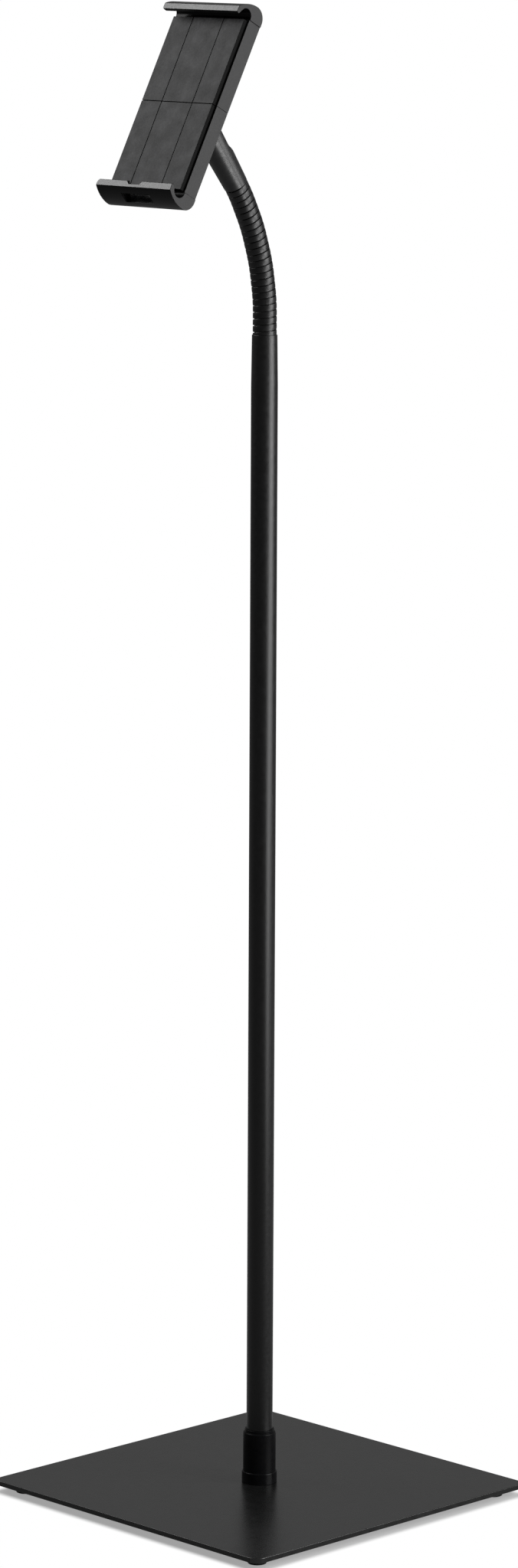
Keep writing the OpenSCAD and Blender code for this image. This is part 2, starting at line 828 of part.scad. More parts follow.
// A front pad of one half between two sides; half is 1 for the upper and -1 for the lower half
module pad(half, left, right) {
    low = half > 0 ? pad_seam : -half_len + pad_margin / 2;
    high = half > 0 ? half_len - pad_margin / 2 : -pad_seam;
    color("#454545") in_holder() box([left, low, front_z], [right, high, pad_front_z]);
}

module pad_left(half) pad(half, -pad_half, -pad_mid_w / 2 - pad_gap);
module pad_middle(half) pad(half, -pad_mid_w / 2, pad_mid_w / 2);
module pad_right(half) pad(half, pad_mid_w / 2 + pad_gap, pad_half);

// Nodes

base_plate();
rubber_feet();
foot_screws();
base_bolt();
base_washer();
base_sleeve();
base_ring();
pole_plug();
pole_tube();
pole_top_insert();
neck_root();
for (k = [2:link_count]) neck_link(k);
for (k = [1:link_count]) neck_winding(k);
neck_adapter();
hinge_bolt();
hinge_nut();
hinge_washers();
swivel_hub();
swivel_washer();
swivel_screw();
lower_shell();
guide_channel();
guide_screws();
clamp_springs();
lower_hook();
lower_hook_screws();
pad_left(-1);  // lower_pad_left
pad_middle(-1);  // lower_pad_middle
pad_right(-1);  // lower_pad_right
upper_shell();
slide_tongue();
tongue_screws();
upper_hook();
upper_hook_screws();
pad_left(1);  // upper_pad_left
pad_middle(1);  // upper_pad_middle
pad_right(1);  // upper_pad_right
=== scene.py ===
"""Looks of an adjustable tablet floor stand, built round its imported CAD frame.

All sizes are in metres, in the frame of the CAD model: +Z is up and the holder faces -Y.
"""

from __future__ import annotations

import json
import logging
import math
from collections.abc import Sequence
from dataclasses import dataclass
from enum import Enum
from typing import Any

import bmesh
import bpy
from mathutils import Matrix, Vector


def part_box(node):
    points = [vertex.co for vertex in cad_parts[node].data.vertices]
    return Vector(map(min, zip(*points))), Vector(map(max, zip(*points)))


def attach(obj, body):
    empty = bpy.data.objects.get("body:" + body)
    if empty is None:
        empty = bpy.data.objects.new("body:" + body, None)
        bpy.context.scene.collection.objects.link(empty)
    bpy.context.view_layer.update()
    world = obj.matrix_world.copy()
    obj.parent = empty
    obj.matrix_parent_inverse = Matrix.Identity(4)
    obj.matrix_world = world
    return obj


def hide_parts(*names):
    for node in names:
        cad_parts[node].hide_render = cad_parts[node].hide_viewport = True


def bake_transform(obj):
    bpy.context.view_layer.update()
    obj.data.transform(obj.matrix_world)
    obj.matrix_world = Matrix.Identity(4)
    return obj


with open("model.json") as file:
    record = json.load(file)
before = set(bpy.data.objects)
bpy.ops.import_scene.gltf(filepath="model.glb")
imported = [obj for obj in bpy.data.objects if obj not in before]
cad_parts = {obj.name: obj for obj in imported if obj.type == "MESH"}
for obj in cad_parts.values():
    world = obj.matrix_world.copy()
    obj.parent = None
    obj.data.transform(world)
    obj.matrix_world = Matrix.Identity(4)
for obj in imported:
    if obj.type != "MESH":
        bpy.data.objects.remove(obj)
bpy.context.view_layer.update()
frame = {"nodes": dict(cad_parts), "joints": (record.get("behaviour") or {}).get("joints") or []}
LOG = logging.getLogger("tablet_stand")

Point = tuple[float, float]
Triple = tuple[float, float, float]
Piece = bpy.types.Object
Tree = bpy.types.NodeTree
Socket = bpy.types.NodeSocket
Inputs = dict[str | int, Any]

SQUARE = ((1, 1), (-1, 1), (-1, -1), (1, -1))
FULL_TURN = 2 * math.pi
LATHE_STEPS = 128
SHARP_ANGLE = math.radians(35)
MERGE_DISTANCE = 1e-7
FLAT_FACING = math.cos(math.radians(12))
FINE_DETAIL = 3.0
DRIFT_DETAIL = 4.0
DRIFT_SCALE = 0.16
DRIFT_SHARE = 0.7
TONE_RANGE = (0.34, 0.66)
LINE_DETAIL = 2.0
LINE_STRETCH = (1.0, 0.03, 1.0)
MIX_RESULT, MIX_FROM, MIX_TO = 2, 6, 7
WIRE_EDGE_POINTS = 4


# Node trees


class Graph:
    """A node tree with short calls to add and wire its nodes."""

    def __init__(self, tree: Tree) -> None:
        """Keeps the tree that the calls work on."""
        self.tree = tree

    @classmethod
    def group(cls, name: str, kind: str, inputs: dict[str, str], outputs: dict[str, str]) -> Graph:
        """Makes a node group with named sockets.

        Args:
            name: The group's name.
            kind: The type of its tree.
            inputs: The type of each input, by name.
            outputs: The type of each output, by name.

        Returns:
            The group's tree.
        """
        graph = cls(bpy.data.node_groups.new(name, kind))
        for way, sockets in (("INPUT", inputs), ("OUTPUT", outputs)):
            for socket, value in sockets.items():
                graph.tree.interface.new_socket(socket, in_out=way, socket_type=f"NodeSocket{value}")
        return graph

    @classmethod
    def emptied(cls, owner: bpy.types.Material | bpy.types.World) -> Graph:
        """Empties the tree of a material or a world.

        Args:
            owner: The material or the world.

        Returns:
            The tree.
        """
        owner.use_nodes = True
        owner.node_tree.nodes.clear()
        return cls(owner.node_tree)

    def entry(self) -> bpy.types.NodeOutputs:
        """Adds the node that gives the group's inputs."""
        return self.add("NodeGroupInput").outputs

    def close(self, shape: Socket, material: Socket) -> None:
        """Ends a Geometry Nodes tree: its shape is made real and gets its material.

        Args:
            shape: The shape.
            material: The material.
        """
        real = self.out("GeometryNodeRealizeInstances", {0: shape})
        painted = self.out("GeometryNodeSetMaterial", {"Geometry": real, "Material": material})
        self.add("NodeGroupOutput", {0: painted})

    def add(self, kind: str, inputs: Inputs | None = None, **settings: Any) -> bpy.types.Node:
        """Adds a node.

        Args:
            kind: The node's type.
            inputs: A value, or another node's output, for each input by name or place.
            settings: The node's own settings.

        Returns:
            The new node.
        """
        node = self.tree.nodes.new(kind)
        for name, value in settings.items():
            setattr(node, name, value)
        for place, value in (inputs or {}).items():
            if isinstance(value, bpy.types.NodeSocket):
                self.tree.links.new(value, node.inputs[place])
            else:
                node.inputs[place].default_value = value
        return node

    def out(self, kind: str, inputs: Inputs | None = None, **settings: Any) -> Socket:
        """Adds a node and returns its first output."""
        return self.add(kind, inputs, **settings).outputs[0]

    def math(self, operation: str, first: Any, second: Any = 0.0) -> Socket:
        """Adds a Math node and returns its output."""
        return self.out("ShaderNodeMath", {0: first, 1: second}, operation=operation)

    def vector(self, operation: str, first: Any, second: Any) -> Socket:
        """Adds a Vector Math node and returns its vector output."""
        return self.out("ShaderNodeVectorMath", {0: first, 1: second}, operation=operation)

    def scaled(self, vector: Any, factor: Any) -> Socket:
        """Adds a node that multiplies a vector by a number and returns its output."""
        return self.out("ShaderNodeVectorMath", {0: vector, "Scale": factor}, operation="SCALE")

    def noise(self, place: Socket, scale: Socket, detail: float) -> Socket:
        """Adds a noise texture and returns its value."""
        return self.out("ShaderNodeTexNoise", {"Vector": place, "Scale": scale, "Detail": detail})


# Finishes


class Surface(Enum):
    """How the face of a finish is broken up, as the name of its shader group."""

    GRAIN = "surface_grain"
    DRAWN = "drawn_lines"


def surface_graph(surface: Surface) -> Graph:
    """Starts the group of a surface, which puts out a bump height and a tone from 0 to 1."""
    outputs = {"Height": "Float", "Tone": "Float"}
    return Graph.group(surface.value, "ShaderNodeTree", {"Vector": "Vector", "Per Metre": "Float"}, outputs)


def grain_group() -> Tree:
    """Builds the shader group of a fine, even grain with a faint drift in tone.

    Returns:
        The group.
    """
    graph = surface_graph(Surface.GRAIN)
    place, scale = graph.entry()[:2]
    fine = graph.noise(place, scale, FINE_DETAIL)
    drift = graph.noise(place, graph.math("MULTIPLY", scale, DRIFT_SCALE), DRIFT_DETAIL)
    drift_part = graph.math("MULTIPLY", drift, DRIFT_SHARE)
    fine_part = graph.math("MULTIPLY", fine, 1 - DRIFT_SHARE)
    mixed = graph.math("ADD", drift_part, fine_part)
    low, high = TONE_RANGE
    tone = graph.out("ShaderNodeMapRange", {"Value": mixed, "From Min": low, "From Max": high})
    graph.add("NodeGroupOutput", {0: fine, 1: tone})
    return graph.tree


def drawn_group() -> Tree:
    """Builds the shader group of fine parallel lines, as on drawn or brushed metal.

    Returns:
        The group.
    """
    graph = surface_graph(Surface.DRAWN)
    place, scale = graph.entry()[:2]
    lines = graph.noise(graph.vector("MULTIPLY", place, LINE_STRETCH), scale, LINE_DETAIL)
    graph.add("NodeGroupOutput", {0: lines, 1: lines})
    return graph.tree


SURFACE_BUILDERS = {Surface.GRAIN: grain_group, Surface.DRAWN: drawn_group}


@dataclass(frozen=True)
class Finish:
    """One finish: its colour, how it shines and how its face is broken up."""

    name: str
    slot: str
    colour: Triple
    roughness: float
    shine: float = 0.5
    metallic: float = 0.0
    surface: Surface = Surface.GRAIN
    grain: float = 0.0006
    relief: float = 0.00002
    mottle: float = 0.15
    rough_spread: float = 0.06

    def material(self) -> bpy.types.Material:
        """Builds the material once.

        Returns:
            The material of this finish.
        """
        known = bpy.data.materials.get(self.name)
        if known:
            return known
        material = bpy.data.materials.new(self.name)
        graph = Graph.emptied(material)
        group = bpy.data.node_groups.get(self.surface.value) or SURFACE_BUILDERS[self.surface]()
        place = graph.add("ShaderNodeTexCoord").outputs["Object"]
        face_inputs = {"Vector": place, "Per Metre": 1 / self.grain}
        height, tone = graph.add("ShaderNodeGroup", face_inputs, node_tree=group).outputs
        dark = [channel * (1 - self.mottle) for channel in self.colour] + [1.0]
        light = [channel * (1 + self.mottle) for channel in self.colour] + [1.0]
        colour = graph.add("ShaderNodeMix", {0: tone, MIX_FROM: dark, MIX_TO: light}, data_type="RGBA")
        low, high = self.roughness - self.rough_spread, self.roughness + self.rough_spread
        shader_inputs = {
            "Base Color": colour.outputs[MIX_RESULT],
            "Roughness": graph.out("ShaderNodeMapRange", {0: tone, "To Min": low, "To Max": high}),
            "Normal": graph.out("ShaderNodeBump", {"Height": height, "Distance": self.relief}),
            "Metallic": self.metallic,
            "Specular IOR Level": self.shine,
        }
        shader = graph.out("ShaderNodeBsdfPrincipled", shader_inputs)
        graph.add("ShaderNodeOutputMaterial", {"Surface": shader})
        return material


PLATE_COAT = Finish(
    "plate_powder_coat", "plate_black", (0.0045, 0.0046, 0.0046), 0.28, 0.5,
    grain=0.0012, relief=0.00003, rough_spread=0.02,
)
PLATE_EDGE = Finish("plate_edge_coat", "plate_black", (0.0045, 0.0046, 0.0046), 0.4, 0.25, grain=0.0012)
POLE_COAT = Finish("pole_satin_coat", "pole_black", (0.0024, 0.0024, 0.0025), 0.35, 0.29, grain=0.0005)
SLEEVE_BLACK = Finish("sleeve_satin_black", "satin_black", (0.003, 0.003, 0.0033), 0.34, 0.05)
ADAPTER_BLACK = Finish("adapter_satin_black", "satin_black", (0.005, 0.005, 0.0052), 0.36, 0.3)
RING_BLACK = Finish("ring_semi_gloss", "ring_black", (0.003, 0.003, 0.0033), 0.22, 0.07)
FOOT_RUBBER = Finish("foot_rubber_black", "foot_rubber", (0.012, 0.012, 0.012), 0.75, 0.25, relief=0.00006)
NECK_COAT = Finish("neck_wire_coat", "neck_black", (0.0025, 0.0025, 0.0026), 0.35, 0.26)
CORE_STEEL = Finish(
    "neck_core_steel", "core_steel", (0.05, 0.05, 0.052), 0.45, metallic=1.0, surface=Surface.DRAWN
)
SHELL_GREY = Finish(
    "shell_moulded_grey", "shell_grey", (0.011, 0.011, 0.0112), 0.58, 0.2, relief=0.00004, mottle=0.3
)
HOOK_BLACK = Finish("hook_gloss_black", "hook_black", (0.004, 0.004, 0.0042), 0.22, 0.07, relief=0.00001)
# Lip front faces: a real fine grain, with a light grey colour that is painted sheen on the black hook
# plastic.
HOOK_GRAIN_SHEEN = Finish(
    "hook_grained_face", "hook_black", (0.115, 0.115, 0.116), 0.42, 0.75,
    grain=0.0009, relief=0.00012, mottle=1.0,
)
PAD_RUBBER = Finish(
    "pad_soft_rubber", "pad_rubber", (0.06, 0.06, 0.061), 0.66, 0.3,
    grain=0.0018, relief=0.00012, mottle=0.85,
)
# Painted shade: near-black on the pads' side walls and on the shell's front face, standing in for the shade
# in the strip between each pad and the shell's side.
PAD_PAINTED_SHADE = Finish(
    "pad_edge_black", "pad_rubber", (0.002, 0.002, 0.002), 0.7, 0.04, relief=0.00007, mottle=0.6
)
SCREW_STEEL = Finish(
    "screw_black_steel", "screw_steel", (0.035, 0.035, 0.037), 0.4, metallic=1.0, surface=Surface.DRAWN
)
SLIDE_ALUMINIUM = Finish(
    "slide_dark_aluminium", "slide_alu", (0.07, 0.07, 0.072), 0.42, metallic=1.0, surface=Surface.DRAWN
)
SPRING_STEEL = Finish("spring_steel_wire", "spring_steel", (0.16, 0.16, 0.165), 0.3, metallic=1.0)
WASHER_NYLON = Finish("washer_grey_nylon", "washer_nylon", (0.06, 0.058, 0.053), 0.5)


# Shapes


def fillet(corners: Sequence[Triple], steps: int = 6) -> list[Point]:
    """Rounds the corners of a closed outline.

    Args:
        corners: The x, y and radius of each corner, in order.
        steps: Straight stretches in each round corner.

    Returns:
        The points of the rounded outline.
    """
    points: list[Point] = []
    for i, (x, y, radius) in enumerate(corners):
        here = Vector((x, y))
        if radius <= 0:
            points.append((x, y))
            continue
        to_last = (Vector(corners[i - 1][:2]) - here).normalized()
        to_next = (Vector(corners[(i + 1) % len(corners)][:2]) - here).normalized()
        half = to_last.angle(to_next) / 2
        middle = here + (to_last + to_next).normalized() * radius / math.sin(half)
        first = here + to_last * radius / math.tan(half) - middle
        last = here + to_next * radius / math.tan(half) - middle
        sweep = first.angle(last)
        for k in range(steps + 1):
            share = k / steps
            spoke = (first * math.sin((1 - share) * sweep) + last * math.sin(share * sweep)) / math.sin(sweep)
            points.append(tuple(middle + spoke))
    return points


def arc(middle: Point, radius: float, start: float, end: float, steps: int = 20) -> list[Point]:
    """Gives points on an arc round a middle, from one angle in radians to another."""
    angles = [start + (end - start) * k / steps for k in range(steps + 1)]
    return [(middle[0] + radius * math.cos(a), middle[1] + radius * math.sin(a)) for a in angles]


def placed(name: str, data: bpy.types.ID) -> Piece:
    """Makes an object with some data and links it to the scene.

    Args:
        name: The object's name.
        data: Its mesh, curve, lamp or camera.

    Returns:
        The object, at the origin.
    """
    item = bpy.data.objects.new(name, data)
    bpy.context.scene.collection.objects.link(item)
    return item


def new_piece(name: str, shape: bmesh.types.BMesh) -> Piece:
    """Turns a finished shape into an object of the scene.

    Args:
        name: The object's name.
        shape: The shape, which is freed.

    Returns:
        The object, at the origin.
    """
    bmesh.ops.remove_doubles(shape, verts=shape.verts, dist=MERGE_DISTANCE)
    bmesh.ops.dissolve_degenerate(shape, edges=shape.edges, dist=MERGE_DISTANCE)
    bmesh.ops.recalc_face_normals(shape, faces=shape.faces)
    mesh = bpy.data.meshes.new(name)
    shape.to_mesh(mesh)
    shape.free()
    return placed(name, mesh)


def lathe(name: str, outline: Sequence[Point], steps: int = LATHE_STEPS) -> Piece:
    """Turns a closed outline about the Z axis.

    Args:
        name: The piece's name.
        outline: Radius and height of each point.
        steps: Steps round the axis.

    Returns:
        The turned piece.
    """
    shape = bmesh.new()
    turns = [FULL_TURN * k / steps for k in range(steps)]
    rings = [[shape.verts.new((r * math.cos(a), r * math.sin(a), z)) for r, z in outline] for a in turns]
    for k, ring in enumerate(rings):
        after = rings[(k + 1) % steps]
        for i in range(len(outline)):
            j = (i + 1) % len(outline)
            if outline[i][0] > 0 or outline[j][0] > 0:
                shape.faces.new((ring[i], after[i], after[j], ring[j]))
    return new_piece(name, shape)


def rod(name: str, radius: float, low: float, high: float, steps: int) -> Piece:
    """Makes a round rod about the Z axis, between two heights."""
    return lathe(name, [(0.0, low), (radius, low), (radius, high), (0.0, high)], steps)


def stacked(name: str, rings: Sequence[Sequence[Triple]]) -> Piece:
    """Makes a solid of rings of points that follow one another.

    Args:
        name: The piece's name.
        rings: The points of each ring, with the same number in all.

    Returns:
        The piece, closed at its first and its last ring.
    """
    shape = bmesh.new()
    layers = [[shape.verts.new(point) for point in ring] for ring in rings]
    for end in (layers[0], layers[-1]):
        shape.faces.new(end)
    for ring, after in zip(layers, layers[1:]):
        for i in range(len(ring)):
            j = (i + 1) % len(ring)
            shape.faces.new((ring[i], ring[j], after[j], after[i]))
    return new_piece(name, shape)


def prism(name: str, outline: Sequence[Point], left: float, right: float) -> Piece:
    """Draws a closed outline of Y and Z out along X."""
    return stacked(name, [[(x, y, z) for y, z in outline] for x in (left, right)])


def block(name: str, low: Sequence[float], high: Sequence[float]) -> Piece:
    """Makes a box between two corners."""
    outline = [(low[1], low[2]), (high[1], low[2]), (high[1], high[2]), (low[1], high[2])]
    return prism(name, outline, low[0], high[0])


def applied(piece: Piece) -> Piece:
    """Turns a piece with its modifiers into a plain mesh.

    Args:
        piece: The piece.

    Returns:
        The same object, with no modifiers.
    """
    mesh = bpy.data.meshes.new_from_object(piece.evaluated_get(bpy.context.evaluated_depsgraph_get()))
    piece.modifiers.clear()
    piece.data = mesh
    return piece


def eased(piece: Piece, width: float, segments: int = 3) -> Piece:
    """Rounds the sharp edges of a piece.

    Args:
        piece: The piece.
        width: How far a rounding reaches from the edge.
        segments: Faces across a rounding.

    Returns:
        The same object.
    """
    bevel = piece.modifiers.new("eased_edges", "BEVEL")
    bevel.limit_method = "ANGLE"
    bevel.angle_limit = SHARP_ANGLE
    bevel.width = width
    bevel.segments = segments
    return applied(piece)


def cut(piece: Piece, *tools: Piece) -> Piece:
    """Takes other shapes out of a piece, and removes them.

    Args:
        piece: The piece.
        tools: The shapes to take out.

    Returns:
        The same object.
    """
    for tool in tools:
        boolean = piece.modifiers.new("cut", "BOOLEAN")
        boolean.object = tool
        boolean.solver = "EXACT"
    applied(piece)
    for tool in tools:
        bpy.data.objects.remove(tool)
    return piece


def joined(name: str, *pieces: Piece) -> Piece:
    """Puts pieces together as one.

    Args:
        name: The new piece's name.
        pieces: The pieces, which are removed.

    Returns:
        The new piece.
    """
    shape = bmesh.new()
    for piece in pieces:
        shape.from_mesh(piece.data)
        bpy.data.objects.remove(piece)
    return new_piece(name, shape)


def smoothed(piece: Piece) -> Piece:
    """Shades round faces smoothly and keeps flat faces flat.

    Args:
        piece: The piece.

    Returns:
        The same object.
    """
    piece.data.shade_smooth()
    piece.data.set_sharp_from_angle(angle=SHARP_ANGLE)
    weighted = piece.modifiers.new("flat_faces", "WEIGHTED_NORMAL")
    weighted.keep_sharp = True
    return applied(piece)


def dress(piece: Piece, finish: Finish) -> Piece:
    """Gives a piece its finish.

    Args:
        piece: The piece.
        finish: The finish.

    Returns:
        The same object.
    """
    piece.data.materials.clear()
    piece.data.materials.append(finish.material())
    return piece


def seat(piece: Piece, finish: Finish, body: str, *nodes: str) -> Piece:
    """Finishes a piece and lets it ride on its body in place of CAD nodes.

    Args:
        piece: The piece, in place.
        finish: Its finish.
        body: The body that it moves with.
        nodes: The CAD nodes that it stands for.

    Returns:
        The same object.
    """
    dress(smoothed(piece), finish)
    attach(piece, body)
    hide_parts(*nodes)
    LOG.info("%s on %s for %s", piece.name, body, ", ".join(nodes))
    return piece


def face_finish(piece: Piece, finish: Finish, *facing: tuple[Vector, float]) -> None:
    """Gives the flat faces that look in some directions a finish of their own.

    Args:
        piece: The piece, with its main finish.
        finish: The finish of those faces.
        facing: Each direction, with how far along it the faces lie at least.
    """
    piece.data.materials.append(finish.material())
    index = len(piece.data.materials) - 1
    for face in piece.data.polygons:
        for way, least in facing:
            if face.normal.dot(way) > FLAT_FACING and face.center.dot(way) > least:
                face.material_index = index


def dress_nodes(finish: Finish, *nodes: str) -> None:
    """Gives CAD nodes that are kept their finish.

    Args:
        finish: The finish.
        nodes: The nodes' names.
    """
    for node in nodes:
        materials = frame["nodes"][node].data.materials
        materials.clear()
        materials.append(finish.material())
        LOG.info("%s kept, in %s", node, finish.name)


def joint(name: str) -> dict[str, Any]:
    """Finds a joint of the frame by name."""
    return next(j for j in frame["joints"] if j["name"] == name)


# Repeats and windings


class Repeat(Enum):
    """The Geometry Nodes trees of this object."""

    CORNERS = "copies_at_four_corners"
    WOUND = "wound_wire"


def repeat_graph(repeat: Repeat, inputs: dict[str, str]) -> Graph:
    """Starts a Geometry Nodes tree with named inputs, which puts out a shape."""
    return Graph.group(repeat.value, "GeometryNodeTree", inputs, {"Geometry": "Geometry"})


def corners_tree() -> Tree:
    """Builds the tree that sets a shape at the four corners of a rectangle.

    Returns:
        The tree.
    """
    inputs = {"Shape": "Object", "Across": "Float", "Along": "Float", "Material": "Material"}
    graph = repeat_graph(Repeat.CORNERS, inputs)
    entry = graph.entry()
    grid_inputs = {"Size X": entry["Across"], "Size Y": entry["Along"], "Vertices X": 2, "Vertices Y": 2}
    grid = graph.out("GeometryNodeMeshGrid", grid_inputs)
    shape = graph.add("GeometryNodeObjectInfo", {"Object": entry["Shape"]}).outputs["Geometry"]
    copies = graph.out("GeometryNodeInstanceOnPoints", {"Points": grid, "Instance": shape})
    graph.close(copies, entry["Material"])
    return graph.tree


def wound_tree() -> Tree:
    """Builds the tree that winds a wire round a path that lies in a plane of constant X.

    Returns:
        The tree.
    """
    graph = repeat_graph(Repeat.WOUND, {
        "Path": "Object", "Start": "Float", "End": "Float", "Coil Radius": "Float", "Pitch": "Float",
        "Wire Width": "Float", "Wire Depth": "Float", "Wire Round": "Float", "Crown": "Float",
        "Section Points": "Int", "Steps": "Int", "Phase": "Float", "Material": "Material",
    })
    entry = graph.entry()
    span = graph.math("SUBTRACT", entry["End"], entry["Start"])
    turns = graph.math("DIVIDE", span, entry["Pitch"])
    steps = graph.math("CEIL", graph.math("MULTIPLY", turns, entry["Steps"]))
    line = graph.out("GeometryNodeMeshLine", {"Count": graph.math("ADD", steps, 1.0)})
    curve = graph.out("GeometryNodeMeshToCurve", {"Mesh": line})
    share = graph.math("DIVIDE", graph.out("GeometryNodeInputIndex"), steps)
    along = graph.math("ADD", entry["Start"], graph.math("MULTIPLY", share, span))
    turn = graph.math("MULTIPLY", graph.math("DIVIDE", along, entry["Pitch"]), FULL_TURN)
    angle = graph.math("ADD", turn, entry["Phase"])
    path = graph.add("GeometryNodeObjectInfo", {"Object": entry["Path"]}).outputs["Geometry"]
    sample = graph.add("GeometryNodeSampleCurve", {"Curves": path, "Length": along}, mode="LENGTH")
    side = (1.0, 0.0, 0.0)
    up = graph.vector("CROSS_PRODUCT", sample.outputs["Tangent"], side)
    out_side = graph.scaled(side, graph.math("COSINE", angle))
    out_up = graph.scaled(up, graph.math("SINE", angle))
    outwards = graph.vector("ADD", out_side, out_up)
    place = graph.vector("ADD", sample.outputs["Position"], graph.scaled(outwards, entry["Coil Radius"]))
    wire = graph.out("GeometryNodeSetPosition", {"Geometry": curve, "Position": place})
    turned = graph.out("GeometryNodeSetCurveNormal", {"Curve": wire, "Normal": outwards}, mode="FREE")
    section_size = {"Width": entry["Wire Depth"], "Height": entry["Wire Width"]}
    section = graph.out("GeometryNodeCurvePrimitiveQuadrilateral", section_size)
    rounding = {"Curve": section, "Radius": entry["Wire Round"], "Count": WIRE_EDGE_POINTS}
    rounded = graph.out("GeometryNodeFilletCurve", rounding, mode="POLY")
    dense = graph.out("GeometryNodeResampleCurve", {"Curve": rounded, "Count": entry["Section Points"]})
    spot = graph.out("GeometryNodeInputPosition")
    sideways = graph.add("ShaderNodeSeparateXYZ", {0: spot}).outputs["Y"]
    across = graph.math("DIVIDE", sideways, entry["Wire Width"])
    rise = graph.math("SUBTRACT", 1.0, graph.math("MULTIPLY", 4.0, graph.math("MULTIPLY", across, across)))
    swell = graph.math("DIVIDE", graph.math("MULTIPLY", rise, entry["Crown"]), entry["Wire Depth"])
    deeper = graph.math("ADD", 1.0, graph.math("MULTIPLY", swell, 2.0))
    stretch = graph.out("ShaderNodeCombineXYZ", {"X": deeper, "Y": 1.0})
    crowned_spot = graph.vector("MULTIPLY", spot, stretch)
    crowned = graph.out("GeometryNodeSetPosition", {"Geometry": dense, "Position": crowned_spot})
    sweep = {"Curve": turned, "Profile Curve": crowned, "Fill Caps": True}
    swept = graph.out("GeometryNodeCurveToMesh", sweep)
    graph.close(graph.out("GeometryNodeSetShadeSmooth", {"Geometry": swept}), entry["Material"])
    return graph.tree


REPEAT_BUILDERS = {Repeat.CORNERS: corners_tree, Repeat.WOUND: wound_tree}


def grown(name: str, repeat: Repeat, **values: Any) -> Piece:
    """Makes a plain mesh with one of the Geometry Nodes trees.

    Args:
        name: The piece's name.
        repeat: The tree.
        values: The tree's inputs by name, with _ for a space.

    Returns:
        The piece.
    """
    tree = bpy.data.node_groups.get(repeat.value) or REPEAT_BUILDERS[repeat]()
    piece = new_piece(name, bmesh.new())
    modifier = piece.modifiers.new(repeat.value, "NODES")
    modifier.node_group = tree
    for item in tree.interface.items_tree:
        key = item.name.lower().replace(" ", "_")
        if item.in_out == "INPUT" and key in values:
            modifier[item.identifier] = values[key]
    return applied(piece)


def path_curve(name: str, points: Sequence[Vector]) -> Piece:
    """Makes a helper curve for a winding to follow.

    Args:
        name: The curve's name.
        points: Its points.

    Returns:
        The curve object, which the caller removes.
    """
    data = bpy.data.curves.new(name, "CURVE")
    data.dimensions = "3D"
    spline = data.splines.new("POLY")
    spline.points.add(len(points) - 1)
    for point, place in zip(spline.points, points):
        point.co = (*place, 1.0)
    return placed(name, data)


# Sub-assemblies


@dataclass
class Base:
    """The square plate on its rubber feet."""

    corner: float = 0.009
    ease_top: float = 0.0005
    ease_low: float = 0.0006
    foot_at: float = 0.127
    foot_top_r: float = 0.008
    foot_low_r: float = 0.007
    foot_round: float = 0.0009
    recess_r: float = 0.004
    recess_depth: float = 0.0034
    recess_round: float = 0.0003
    corner_steps: int = 16
    edge_steps: int = 4

    def outline(self, inset: float, half: float) -> list[Point]:
        """Gives the plate's outline, drawn in by an inset."""
        side, radius = half - inset, self.corner - inset
        return fillet([(x * side, y * side, radius) for x, y in SQUARE], self.corner_steps)

    def plate(self) -> Piece:
        """Builds the plate in layers, with eased edges.

        Returns:
            The plate.
        """
        low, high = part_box("base_plate")
        angles = [math.pi / 2 * k / self.edge_steps for k in range(self.edge_steps + 1)]
        shares = [(1 - math.sin(angle), 1 - math.cos(angle)) for angle in angles]
        layers = [(self.ease_low * inset, low.z + self.ease_low * rise) for inset, rise in shares]
        layers += [(self.ease_top * inset, high.z - self.ease_top * drop) for drop, inset in shares]
        rings = [[(x, y, z) for x, y in self.outline(inset, high.x)] for inset, z in layers]
        return stacked("plate_eased", rings)

    def feet(self) -> Piece:
        """Builds the four feet.

        Returns:
            The feet as one piece.
        """
        low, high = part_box("rubber_feet")
        outline = fillet([
            (0.0, high.z, 0.0), (0.0, self.recess_depth, 0.0), (self.recess_r, self.recess_depth, 0.0),
            (self.recess_r, low.z, self.recess_round), (self.foot_low_r, low.z, self.foot_round),
            (self.foot_top_r, high.z, 0.0),
        ])
        foot = smoothed(lathe("foot_shape", outline, steps=64))
        spread = 2 * self.foot_at
        feet = grown(
            "feet_rubber", Repeat.CORNERS,
            shape=foot, across=spread, along=spread, material=FOOT_RUBBER.material(),
        )
        bpy.data.objects.remove(foot)
        return feet

    def build(self) -> None:
        """Builds and dresses the base."""
        plate = seat(self.plate(), PLATE_COAT, "stand", "base_plate")
        reach = self.foot_at + self.foot_top_r
        sides = [Vector(way) for way in ((1, 0, 0), (-1, 0, 0), (0, 1, 0), (0, -1, 0))]
        face_finish(plate, PLATE_EDGE, *((side, reach) for side in sides))
        seat(self.feet(), FOOT_RUBBER, "stand", "rubber_feet")
        dress_nodes(SCREW_STEEL, "foot_screws", "base_bolt", "base_washer")


